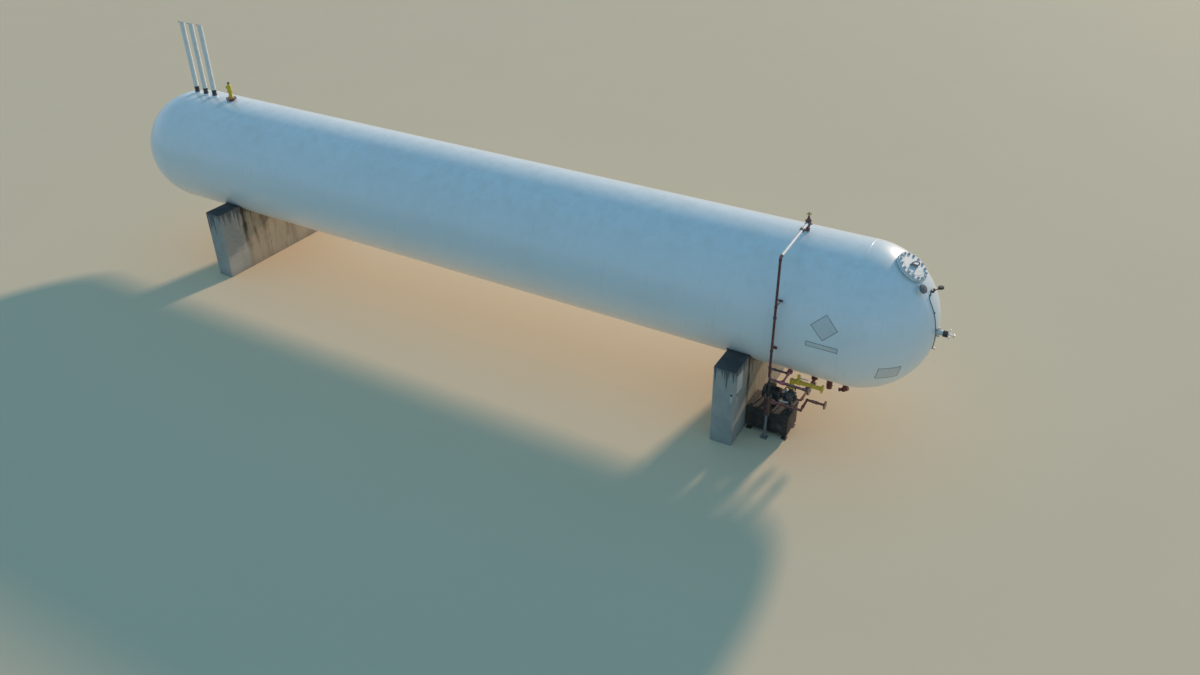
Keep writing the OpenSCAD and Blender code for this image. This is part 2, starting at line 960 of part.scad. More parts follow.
// White levers on the yellow valve and on the return line.
module valve_levers() {
  color([0.92, 0.93, 0.93]) {
    translate([yellow_valve_x - 20, -yellow_y - 18, yellow_z + 96])
      cube([210, 36, 10]);
    difference() {
      translate([jog_x - 280, -post_y, return_z])
        union() {
          translate([-40, 0, 0])
            bar_x(88, 80);
          cylinder(d = 40, h = 90);
          translate([-150, -15, 80])
            cube([170, 30, 10]);
        }
      translate([jog_x - 350, -post_y, return_z])
        bar_x(line_od, 200);
    }
  }
}

// A thin plate that follows the round side of the tank, cut out by a prism that points outward.
module side_plate(x, ang, plate_len) {
  intersection() {
    translate([x - plate_len, 0, axis_h])
      difference() {
        bar_x(tank_od + 2 * plate_t, 2 * plate_len, $fn = 128);
        translate([-1, 0, 0])
          bar_x(tank_od, 2 * plate_len + 2, $fn = 128);
      }
    translate([x, 0, axis_h])
      rotate([ang, 0, 0])
        translate([0, 0, rad - 60])
          children();
  }
}

module side_plates() {
  color([0.90, 0.90, 0.88]) {
    side_plate(near_x - plate_back, diamond_ang, 2 * diamond_side)
      rotate([0, 0, 45])
        translate([-diamond_side / 2, -diamond_side / 2, 0])
          cube([diamond_side, diamond_side, 120]);
    side_plate(near_x - plate_back, strip_ang, strip_len)
      translate([-strip_len / 2, -strip_w / 2, 0])
        cube([strip_len, strip_w, 120]);
  }
}

module head_plate() {
  color([0.90, 0.91, 0.92])
    intersection() {
      translate([near_x, 0, axis_h])
        difference() {
          sphere(d = tank_od + 2 * plate_t, $fn = 360);
          sphere(d = tank_od, $fn = 360);
        }
      on_head(-19.5, -50.5)
        translate([-head_plate_h / 2, -head_plate_w / 2, rad - 60])
          cube([head_plate_h, head_plate_w, 120]);
    }
}

module saddle_plate() {
  color([0.82, 0.80, 0.82])
    translate([saddle_t / 2, -saddle_w / 2 + 90, saddle_top - saddle_plate_down])
      cube([plate_t, saddle_plate_w, saddle_plate_h]);
}

shell();
head_near();
head_far();
saddle_near();
saddle_far();
felt_strips();
manway_neck();
manway_cover();
manway_handle();
vent_nozzles();
relief_valves();
vent_stacks();
rain_caps();
fill_flange();
fill_valve();
fill_cap();
vapour_nozzle();
vapour_valve();
vapour_wheel();
vapour_coupling();
vapour_arm();
drop_pipe();
cross_pipe();
head_nozzle();
head_nozzle_cap();
gauge_block();
pressure_gauge();
gauge_tube();
tube_fitting();
level_neck();
level_ring();
level_dial();
bottom_outlets();
suction_pipe();
pump_body();
pump_motor();
pump_base();
strainer_pot();
return_pipe();
pipe_post();
yellow_pipe();
yellow_valve();
valve_levers();
side_plates();
head_plate();
saddle_plate();
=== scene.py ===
import json
import math
from functools import cache

import bmesh
import bpy
from mathutils import Matrix, Vector


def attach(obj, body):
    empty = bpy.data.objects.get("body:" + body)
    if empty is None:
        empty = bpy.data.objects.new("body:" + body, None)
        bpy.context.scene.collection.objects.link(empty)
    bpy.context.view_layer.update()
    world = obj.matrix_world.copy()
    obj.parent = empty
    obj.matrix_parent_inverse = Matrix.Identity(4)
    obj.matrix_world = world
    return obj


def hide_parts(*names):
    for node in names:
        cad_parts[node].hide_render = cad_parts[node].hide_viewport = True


bl_info = {
    "name": "Horizontal pressure tank",
    "version": (1, 0, 0),
    "blender": (4, 5, 0),
    "location": "View3D > Sidebar > Tank",
    "description": "Finishes a packed pressure tank on saddles with its fittings, materials and stage",
    "category": "Object",
}

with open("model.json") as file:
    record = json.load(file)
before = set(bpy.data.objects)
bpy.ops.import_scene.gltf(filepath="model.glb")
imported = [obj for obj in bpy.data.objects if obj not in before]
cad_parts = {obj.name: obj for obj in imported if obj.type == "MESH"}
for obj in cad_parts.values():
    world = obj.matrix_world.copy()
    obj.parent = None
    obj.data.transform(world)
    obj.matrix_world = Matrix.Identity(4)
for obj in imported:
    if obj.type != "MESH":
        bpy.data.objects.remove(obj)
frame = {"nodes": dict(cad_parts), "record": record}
NODES = frame["nodes"]
SLOTS = {part["node"]: part["material_slot"] for part in frame["record"]["subparts"]}
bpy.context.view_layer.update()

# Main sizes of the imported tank, in metres: X runs along the tank, and its near head is at high X
RAD = 1.384
AXIS_Z = 2.586
CROWN_Z = AXIS_Z + RAD
NEAR_X = 1.930
FAR_X = -15.390
SADDLE_T = 0.444
SADDLE_W = 3.470
SADDLE_TOP = 1.700
STACK_X = [FAR_X + 0.015 + 0.312 * i for i in range(3)]
FILL_X = FAR_X + 1.230
VAPOUR_X, VAPOUR_LINE = 0.748, CROWN_Z + 0.175
LINE_R, ARM_R = 0.024, 0.030
DROP_X, DROP_Y, DROP_Z = 0.780, -1.500, 1.620
ARM_LONG = math.hypot(DROP_X - VAPOUR_X, DROP_Y)
ARM_WAY = Vector(((DROP_X - VAPOUR_X) / ARM_LONG, DROP_Y / ARM_LONG, 0))
YELLOW_Y = -(RAD + 0.195) * math.sin(math.radians(29))
YELLOW_Z = AXIS_Z - (RAD + 0.195) * math.cos(math.radians(29))
POST_X, POST_Y, RETURN_Z = 0.684, -1.166, 0.890
POT_Z = 0.560
PUMP_X, PUMP_Z = 1.000, 0.800
PUMP_BASE_TOP = PUMP_Z - 0.240
OUTLET_X = [1.210 + 0.315 * i for i in range(3)]
OUTLET_Z = AXIS_Z - RAD - 0.480
YELLOW_VALVE_X, RETURN_VALVE_X = 1.120, 1.060
# Turn that sets a ring of four studs square
SQUARE_TURN = 0.78
# Points along the thin tube on the near head, from the gauge block down
TUBE_PATH = [
    (3.099, 0.030, 3.342), (3.084, -0.040, 3.368), (3.089, -0.129, 3.350), (3.103, -0.191, 3.315),
    (3.135, -0.209, 3.255), (3.179, -0.209, 3.169), (3.225, -0.200, 3.063), (3.261, -0.206, 2.947),
    (3.286, -0.202, 2.836), (3.304, -0.187, 2.731), (3.313, -0.171, 2.607), (3.316, -0.150, 2.513),
    (3.303, -0.120, 2.397)]
TUBE_START = (3.126, 0.052, 3.352)
TUBE_END = [(3.296, -0.060, 2.268), (3.302, -0.014, 2.240)]
# Directions: along the tank, away from the side with the lines, and toward it
AHEAD = Vector((1, 0, 0))
BACK = Vector((0, 1, 0))
FRONT = Vector((0, -1, 0))


# Node trees

SOCKET_TYPES = {int: "NodeSocketInt", float: "NodeSocketFloat", tuple: "NodeSocketColor",
                type(None): "NodeSocketMaterial"}


class Wiring:
    """Short ways to add linked nodes to a tree."""

    def __init__(self, tree):
        self.tree = tree

    def put(self, socket, value):
        """Links an input to an output, or sets its value. A colour is given without its alpha."""
        if isinstance(value, bpy.types.NodeSocket):
            self.tree.links.new(value, socket)
        elif value is not None:
            socket.default_value = (*value[:3], 1) if socket.type == "RGBA" else value

    def node(self, kind, *values, **named):
        """Adds a node. Plain values fill its first inputs; capital names are inputs, small ones settings."""
        n = self.tree.nodes.new(kind)
        for key, value in named.items():
            if key.islower():
                setattr(n, key, value)
        for socket, value in zip(n.inputs, values):
            self.put(socket, value)
        for key, value in named.items():
            if not key.islower():
                self.put(n.inputs[key.replace("_", " ")], value)
        return n

    def maths(self, operation, a, b=None):
        return self.node("ShaderNodeMath", a, b, operation=operation).outputs[0]

    def plus(self, a, b):
        return self.maths("ADD", a, b)

    def minus(self, a, b):
        return self.maths("SUBTRACT", a, b)

    def times(self, a, b):
        return self.maths("MULTIPLY", a, b)

    def larger(self, a, b):
        return self.maths("MAXIMUM", a, b)

    def unsigned(self, a):
        return self.maths("ABSOLUTE", a)

    def beside(self, a, step):
        """How far a value is from the middle of its step, in steps."""
        return self.unsigned(self.minus(self.maths("FRACT", self.maths("DIVIDE", a, step)), 0.5))

    def vector(self, operation, a, b=None):
        n = self.node("ShaderNodeVectorMath", a, b, operation=operation)
        return n.outputs["Value"] if operation in ("DOT_PRODUCT", "LENGTH") else n.outputs[0]

    def scaled(self, vector, factor):
        return self.node("ShaderNodeVectorMath", vector, operation="SCALE", Scale=factor).outputs[0]

    def ranged(self, value, low, high, to_low=0.0, to_high=1.0):
        """The value eased from one range into another."""
        n = self.node("ShaderNodeMapRange", interpolation_type="SMOOTHSTEP", Value=value, From_Min=low,
                      From_Max=high, To_Min=to_low, To_Max=to_high)
        return n.outputs["Result"]

    def mixed(self, factor, a, b):
        n = self.node("ShaderNodeMix", data_type="RGBA", Factor=factor)
        self.put(n.inputs[6], a)
        self.put(n.inputs[7], b)
        return n.outputs[2]

    def laid(self, color, other, mask, amount):
        """The colour with another one over it where the mask says, no stronger than the amount."""
        return self.mixed(self.times(mask, amount), color, other)

    def noise(self, where, scale, detail=3.0, rough=0.55, distortion=0.0):
        return self.node("ShaderNodeTexNoise", Vector=where, Scale=scale, Detail=detail, Roughness=rough,
                         Distortion=distortion).outputs["Fac"]

    def cells(self, where, scale, feature="F1"):
        cells = self.node("ShaderNodeTexVoronoi", feature=feature, Vector=where, Scale=scale)
        return cells.outputs["Distance"]

    def place(self):
        return self.node("ShaderNodeTexCoord").outputs["Object"]

    def split(self, vector):
        return self.node("ShaderNodeSeparateXYZ", vector).outputs

    def joined(self, x, y, z):
        return self.node("ShaderNodeCombineXYZ", x, y, z).outputs[0]

    def stretched(self, parts, factors):
        """A vector from three parts, each times its own factor."""
        return self.joined(*(self.times(part, factor) for part, factor in zip(parts, factors)))

    def normal(self):
        return self.node("ShaderNodeNewGeometry").outputs["Normal"]


def new_tree(name, kind, inputs, outputs):
    """An empty tree whose inputs have the types of their defaults: its wiring, inputs and end node."""
    tree = bpy.data.node_groups.new(name, kind)
    for label, value in inputs.items():
        socket = tree.interface.new_socket(label, in_out="INPUT", socket_type=SOCKET_TYPES[type(value)])
        if value is not None:
            socket.default_value = (*value, 1) if isinstance(value, tuple) else value
    for label, socket_type in outputs.items():
        tree.interface.new_socket(label, in_out="OUTPUT", socket_type=socket_type)
    return Wiring(tree), tree.nodes.new("NodeGroupInput").outputs, tree.nodes.new("NodeGroupOutput")


def new_group(name, inputs, *outputs):
    """An empty shader group. An output named Color is a colour, the others are values."""
    kinds = {label: "NodeSocketColor" if label == "Color" else "NodeSocketFloat" for label in outputs}
    return new_tree(name, "ShaderNodeTree", inputs, kinds)


def close_group(w, end, *values):
    """Puts a group's results in its end node and returns its tree."""
    for socket, value in zip(end.inputs, values):
        w.put(socket, value)
    return w.tree


# Shader groups

@cache
def soiling():
    """Dust on upward faces, grime in blotches and dark runs down upright faces."""
    w, s, end = new_group("soiling", {
        "Color": (0.8, 0.8, 0.8), "Dust color": (0.45, 0.40, 0.32), "Run color": (0.20, 0.19, 0.17),
        "Dust": 0.3, "Runs": 0.3, "Blotches": 0.3, "Scale": 1.0}, "Color", "Mask")
    at = w.place()
    up = w.split(w.normal())[2]
    scaled = w.scaled(at, s["Scale"])
    dusty = w.noise(scaled, 5.0, 6.0, 0.65)
    top = w.times(w.times(w.ranged(up, 0.25, 0.95), w.ranged(dusty, 0.38, 0.72)), s["Dust"])
    upright = w.ranged(w.unsigned(up), 0.93, 0.35)
    threads = w.scaled(w.stretched(w.split(at), (9.0, 9.0, 0.55)), s["Scale"])
    runs = w.times(w.times(w.ranged(w.noise(threads, 1.6, 5.0, 0.6), 0.52, 0.78), upright), s["Runs"])
    blot = w.times(w.ranged(w.noise(scaled, 1.1, 7.0, 0.6, 0.3), 0.46, 0.74), s["Blotches"])
    color = w.mixed(top, s["Color"], s["Dust color"])
    color = w.mixed(runs, color, s["Run color"])
    color = w.mixed(blot, color, w.mixed(0.6, s["Dust color"], s["Run color"]))
    return close_group(w, end, color, w.larger(w.larger(top, runs), blot))


@cache
def edge_rub():
    """Wear where two faces meet, broken up by noise."""
    w, s, end = new_group("edge rub", {
        "Color": (0.8, 0.8, 0.8), "Bare color": (0.3, 0.28, 0.26), "Width": 0.004, "Amount": 0.6,
        "Scale": 40.0}, "Color", "Mask")
    bevel = w.node("ShaderNodeBevel", s["Width"], samples=4).outputs[0]
    sharp = w.ranged(w.minus(1.0, w.vector("DOT_PRODUCT", bevel, w.normal())), 0.02, 0.22)
    broken = w.ranged(w.noise(w.place(), s["Scale"], 5.0, 0.7), 0.40, 0.62)
    mask = w.times(w.times(sharp, broken), s["Amount"])
    return close_group(w, end, w.mixed(mask, s["Color"], s["Bare color"]), mask)


@cache
def grain():
    """Height of a fine cast or brushed surface, with broad waves under it."""
    w, s, end = new_group("grain", {
        "Fine scale": 400.0, "Fine": 0.3, "Wave scale": 12.0, "Wave": 0.5}, "Height", "Value")
    at = w.place()
    fine = w.noise(at, s["Fine scale"], 2.0, 0.5)
    wave = w.noise(at, s["Wave scale"], 2.0, 0.5)
    return close_group(w, end, w.plus(w.times(fine, s["Fine"]), w.times(wave, s["Wave"])), wave)


STAIN_AND_SHADE_LINE_Y = 1.045
BOARD_W = 0.63
POUR_H = 1.17


@cache
def cast_concrete():
    """Cast concrete: a top darkened with painted shade, a stained line beside the tank with painted shade
    over its upper part, tan and brown under it, seams and pits.
    """
    w, s, end = new_group("cast concrete", {
        "Pale": (0.5, 0.5, 0.47), "Dark": (0.2, 0.2, 0.19), "Tan": (0.5, 0.4, 0.3),
        "Rust": (0.25, 0.14, 0.06), "Runs": 0.6, "Rust amount": 0.2, "Cracks": 0.5},
        "Color", "Rough", "Height")
    at = w.place()
    x, y, z = w.split(at)
    across, _, up = w.split(w.normal())
    wide = w.ranged(w.unsigned(across), 0.5, 0.8)
    side = w.ranged(w.unsigned(up), 0.8, 0.3)
    big = w.noise(at, 1.7, 6.0, 0.6, 0.2)
    mid = w.noise(at, 9.0, 6.0, 0.65)
    sand = w.noise(at, 160.0, 3.0, 0.6)
    color = w.mixed(w.ranged(big, 0.30, 0.72), s["Pale"], w.mixed(0.35, s["Pale"], s["Dark"]))
    color = w.laid(color, s["Dark"], w.ranged(mid, 0.48, 0.82), 0.28)
    color = w.laid(color, w.mixed(0.5, s["Pale"], (0.72, 0.70, 0.64)), w.ranged(sand, 0.35, 0.75), 0.16)
    # tan and brown on the wide faces under the tank
    inner = w.times(w.ranged(w.plus(w.unsigned(y), w.times(mid, 0.25)), 1.30, 1.05), wide)
    color = w.laid(color, s["Tan"], inner, 0.75)
    drip = w.noise(w.stretched((x, y, z), (4.0, 4.0, 0.7)), 1.4, 5.0, 0.65, 0.4)
    high = w.ranged(w.plus(z, w.times(mid, 0.3)), 0.35, 1.25, 0.45, 1.0)
    brown = w.times(w.times(w.ranged(drip, 0.44, 0.68), high), w.times(inner, s["Rust amount"]))
    color = w.mixed(brown, color, s["Rust"])
    # painted shade: the top is darkened toward near-black for the tank's shadow over it, and stains of many
    # lengths run over its edge
    top = w.times(w.ranged(up, 0.5, 0.85), w.ranged(big, 0.15, 0.60, 0.70, 0.95))
    color = w.mixed(top, color, w.mixed(0.72, s["Dark"], (0.010, 0.016, 0.024)))
    reach = w.noise(w.stretched((x, y, z), (9.0, 9.0, 0.35)), 1.7, 5.0, 0.65)
    reach = w.ranged(reach, 0.42, 0.72, 0.02, 0.62)
    runs = w.ranged(w.minus(w.minus(SADDLE_TOP, z), reach), 0.10, -0.06)
    runs = w.times(w.times(runs, side), s["Runs"])
    color = w.laid(color, w.mixed(0.5, s["Dark"], (0.02, 0.028, 0.034)), runs, 0.85)
    # dark line on the wide faces beside the felt: a brown stain lower down, and near-black painted shade
    # over its upper part, which lies in the tank's shadow; that part is also a little glossier
    off = w.unsigned(w.minus(w.unsigned(y), STAIN_AND_SHADE_LINE_Y))
    wob = w.times(w.minus(w.noise(w.joined(0.0, y, z), 4.0, 3.0), 0.5), 0.14)
    stain_and_shade_line = w.times(w.ranged(w.plus(off, wob), 0.080, 0.015), w.times(wide, s["Runs"]))
    color = w.mixed(w.times(stain_and_shade_line, w.ranged(z, 0.30, 0.80, 0.15, 0.55)), color, s["Rust"])
    # upper part of the line: near-black painted shade
    stain_and_shade_line = w.times(stain_and_shade_line, w.ranged(z, 0.55, 1.15))
    color = w.laid(color, (0.028, 0.024, 0.018), stain_and_shade_line, 0.92)
    # splash band near the floor
    low = w.ranged(w.plus(z, w.times(mid, 0.25)), 0.36, 0.10)
    color = w.laid(color, w.mixed(0.5, s["Dark"], (0.30, 0.25, 0.18)), low, 0.35)
    # fine cracks
    bent = w.vector("ADD", at, w.scaled(w.node("ShaderNodeTexNoise", at).outputs["Color"], 0.25))
    crack = w.ranged(w.cells(bent, 0.85, "DISTANCE_TO_EDGE"), 0.0050, 0.0012)
    crack = w.times(crack, w.ranged(big, 0.46, 0.56))
    crack = w.times(w.times(crack, side), s["Cracks"])
    # upright seams of the form boards
    wob = w.times(w.noise(w.joined(0.0, y, z), 2.6, 4.0, 0.6), 0.10)
    seam = w.ranged(w.beside(w.plus(y, wob), BOARD_W), 0.016, 0.006)
    seam = w.times(seam, w.times(wide, w.ranged(mid, 0.34, 0.56, 0.25, 1.0)))
    crack = w.larger(crack, w.times(seam, w.times(inner, 0.8)))
    color = w.laid(color, (0.07, 0.055, 0.035), crack, 0.8)
    # pits, and level joints between two pours
    pit = w.times(w.ranged(w.cells(at, 34.0), 0.16, 0.05), w.ranged(mid, 0.50, 0.62))
    color = w.laid(color, s["Dark"], pit, 0.45)
    joint = w.times(w.ranged(w.beside(z, POUR_H), 0.005, 0.0015), side)
    color = w.laid(color, s["Dark"], joint, 0.35)
    height = w.plus(w.times(sand, 0.12), w.times(mid, 0.35))
    for hollow, depth in ((crack, 0.6), (pit, 0.7), (joint, 0.4)):
        height = w.minus(height, w.times(hollow, depth))
    return close_group(w, end, color, w.minus(0.93, w.times(stain_and_shade_line, 0.25)), height)


# Materials

def blank_material(name):
    """An empty node material, the wiring helper for it and its shader."""
    mat = bpy.data.materials.new(name)
    mat.use_nodes = True
    mat.node_tree.nodes.clear()
    w = Wiring(mat.node_tree)
    shader = w.node("ShaderNodeBsdfPrincipled")
    w.node("ShaderNodeOutputMaterial", Surface=shader.outputs["BSDF"])
    return mat, w, shader


def use_group(w, tree, **values):
    """Places a shader group with its own values and returns its outputs."""
    return w.node("ShaderNodeGroup", node_tree=tree, **values).outputs


def set_shader(w, shader, **values):
    """Links or sets inputs of a shader, with _ for each space."""
    for key, value in values.items():
        w.put(shader.inputs[key.replace("_", " ")], value)


def bump(w, shader, height, strength, distance):
    n = w.node("ShaderNodeBump", Strength=strength, Distance=distance, Height=height)
    w.put(shader.inputs["Normal"], n.outputs["Normal"])


def tint(color):
    """A colour by the name of its setting, or as it is."""
    return tuple(getattr(bpy.context.scene.tank_colors, color)) if isinstance(color, str) else color


def paint(name, color, rough=0.35, coat=0.0, dust=0.25, runs=0.2, blotches=0.15, rub=0.5,
          bare=(0.16, 0.10, 0.07), width=0.004, scale=3.0, run_color=(0.16, 0.15, 0.14), metallic=0.0,
          fine=0.2, height=0.0006):
    """Painted metal with dust, runs, blotches, rubbed edges and a fine grain."""
    mat, w, shader = blank_material(name)
    soil = use_group(w, soiling(), Color=tint(color), Dust_color=(0.40, 0.35, 0.28), Run_color=run_color,
                     Dust=dust, Runs=runs, Blotches=blotches, Scale=scale)
    shown, mask = soil["Color"], soil["Mask"]
    if rub > 0:
        edge = use_group(w, edge_rub(), Color=shown, Bare_color=bare, Width=width, Amount=rub, Scale=60.0)
        shown, mask = edge["Color"], w.larger(mask, edge["Mask"])
    set_shader(w, shader, Base_Color=shown, Roughness=w.ranged(mask, 0.0, 1.0, rough, min(0.9, rough + 0.4)),
               Metallic=metallic, Coat_Weight=coat, Coat_Roughness=0.12)
    surface = use_group(w, grain(), Fine_scale=500.0, Fine=fine, Wave_scale=25.0, Wave=0.5)
    bump(w, shader, surface["Height"], 0.35, height)
    return mat


def tank_paint(name, color):
    """Gloss white tank paint: rain runs from the crown, faint plate waves, thin dust on top."""
    mat, w, shader = blank_material(name)
    at = w.place()
    x, y, z = w.split(at)
    up = w.split(w.normal())[2]
    soil = use_group(w, soiling(), Color=tint(color), Dust_color=(0.62, 0.58, 0.50),
                     Run_color=(0.50, 0.50, 0.47), Dust=0.28, Runs=0.16, Blotches=0.10, Scale=0.9)
    around = w.maths("ARCTAN2", w.minus(z, AXIS_Z), w.unsigned(y))
    thread = w.noise(w.joined(w.times(x, 14.0), w.times(around, 0.8), 0.0), 1.0, 6.0, 0.7)
    thread = w.times(w.ranged(thread, 0.56, 0.80), w.ranged(up, -0.75, 0.55))
    shown = w.laid(soil["Color"], (0.42, 0.42, 0.38), thread, 0.16)
    # tan on the downward faces: grime, and also painted reflection of the warm floor
    belly_grime_and_reflection = w.times(w.ranged(up, -0.45, -0.95), w.ranged(w.noise(at, 2.2, 6.0, 0.65), 0.35, 0.70))
    shown = w.laid(shown, (0.50, 0.45, 0.36), belly_grime_and_reflection, 0.30)
    mask = w.larger(soil["Mask"], w.times(thread, 0.5))
    set_shader(w, shader, Base_Color=shown, Roughness=w.ranged(mask, 0.0, 0.6, 0.32, 0.54), Coat_Weight=0.22,
               Coat_Roughness=0.12)
    surface = use_group(w, grain(), Fine_scale=220.0, Fine=0.06, Wave_scale=1.1, Wave=1.0)
    bump(w, shader, surface["Height"], 0.10, 0.012)
    return mat


def concrete(name, runs, rust, cracks, ties=()):
    """Cast concrete, with lime drips below the form ties at the given (x, y, z) places, and painted shade in
    each tie's hole.
    """
    mat, w, shader = blank_material(name)
    cast = use_group(w, cast_concrete(), Pale=tint("pale"), Dark=tint("dark"), Tan=(0.50, 0.41, 0.285),
                     Rust=(0.155, 0.085, 0.045), Runs=runs, Rust_amount=rust, Cracks=cracks)
    color = cast["Color"]
    at = w.place()
    patchy = w.noise(at, 60.0, 4.0, 0.7)
    for tie in ties:
        dx, dy, dz = w.split(w.vector("SUBTRACT", at, tie))
        ragged = w.times(w.minus(patchy, 0.5), 0.012)
        far = w.plus(w.vector("LENGTH", w.joined(dx, dy, 0.0)), ragged)
        below = w.times(w.ranged(dz, 0.01, -0.02), w.ranged(dz, -0.24, -0.10))
        lime = w.times(w.ranged(far, 0.026, 0.012), below)
        color = w.mixed(w.times(lime, w.ranged(patchy, 0.35, 0.60, 0.25, 0.95)), color, (0.66, 0.68, 0.70))
        # painted shade: a near-black spot for the tie's hole
        painted_shade_hole = w.ranged(w.vector("LENGTH", w.joined(dx, dy, dz)), 0.028, 0.018)
        color = w.laid(color, (0.012, 0.014, 0.020), painted_shade_hole, 0.95)
    set_shader(w, shader, Base_Color=color, Roughness=cast["Rough"], Specular_IOR_Level=0.3)
    bump(w, shader, cast["Height"], 0.8, 0.006)
    return mat


def felt(name):
    """Black felt with a soft, clumped nap."""
    mat, w, shader = blank_material(name)
    at = w.place()
    fuzz = w.noise(at, 900.0, 4.0, 0.8)
    clump = w.noise(at, 40.0, 4.0, 0.7)
    color = w.mixed(w.ranged(clump, 0.35, 0.75), (0.018, 0.018, 0.018), (0.055, 0.052, 0.048))
    set_shader(w, shader, Base_Color=color,
               Roughness=w.ranged(fuzz, 0.2, 0.8, 0.85, 0.98), Sheen_Weight=0.25)
    bump(w, shader, w.plus(w.times(fuzz, 0.6), clump), 0.7, 0.003)
    return mat


def bare_metal(name, color, rough=0.35, brush=60.0, dust=0.2):
    """Bright or zinc coated metal with a faint grain and dulled patches."""
    mat, w, shader = blank_material(name)
    soil = use_group(w, soiling(), Color=color, Dust_color=(0.36, 0.32, 0.26), Run_color=(0.18, 0.14, 0.10),
                     Dust=dust, Runs=0.25, Blotches=0.25, Scale=6.0)
    spangle = w.cells(w.place(), brush)
    set_shader(w, shader, Base_Color=soil["Color"], Metallic=w.ranged(soil["Mask"], 0.0, 0.6, 0.9, 0.35),
               Roughness=w.ranged(spangle, 0.0, 0.8, rough, rough + 0.22))
    surface = use_group(w, grain(), Fine_scale=700.0, Fine=0.3, Wave_scale=brush, Wave=0.4)
    bump(w, shader, surface["Height"], 0.3, 0.0005)
    return mat


HALF_T, HALF_W = SADDLE_T / 2, SADDLE_W / 2
TIES = ((0.165, -HALF_W, 1.175), (HALF_T, 0.165 - HALF_W, 1.105),
        (-0.165, HALF_W, 1.175), (-HALF_T, HALF_W - 0.165, 1.105))
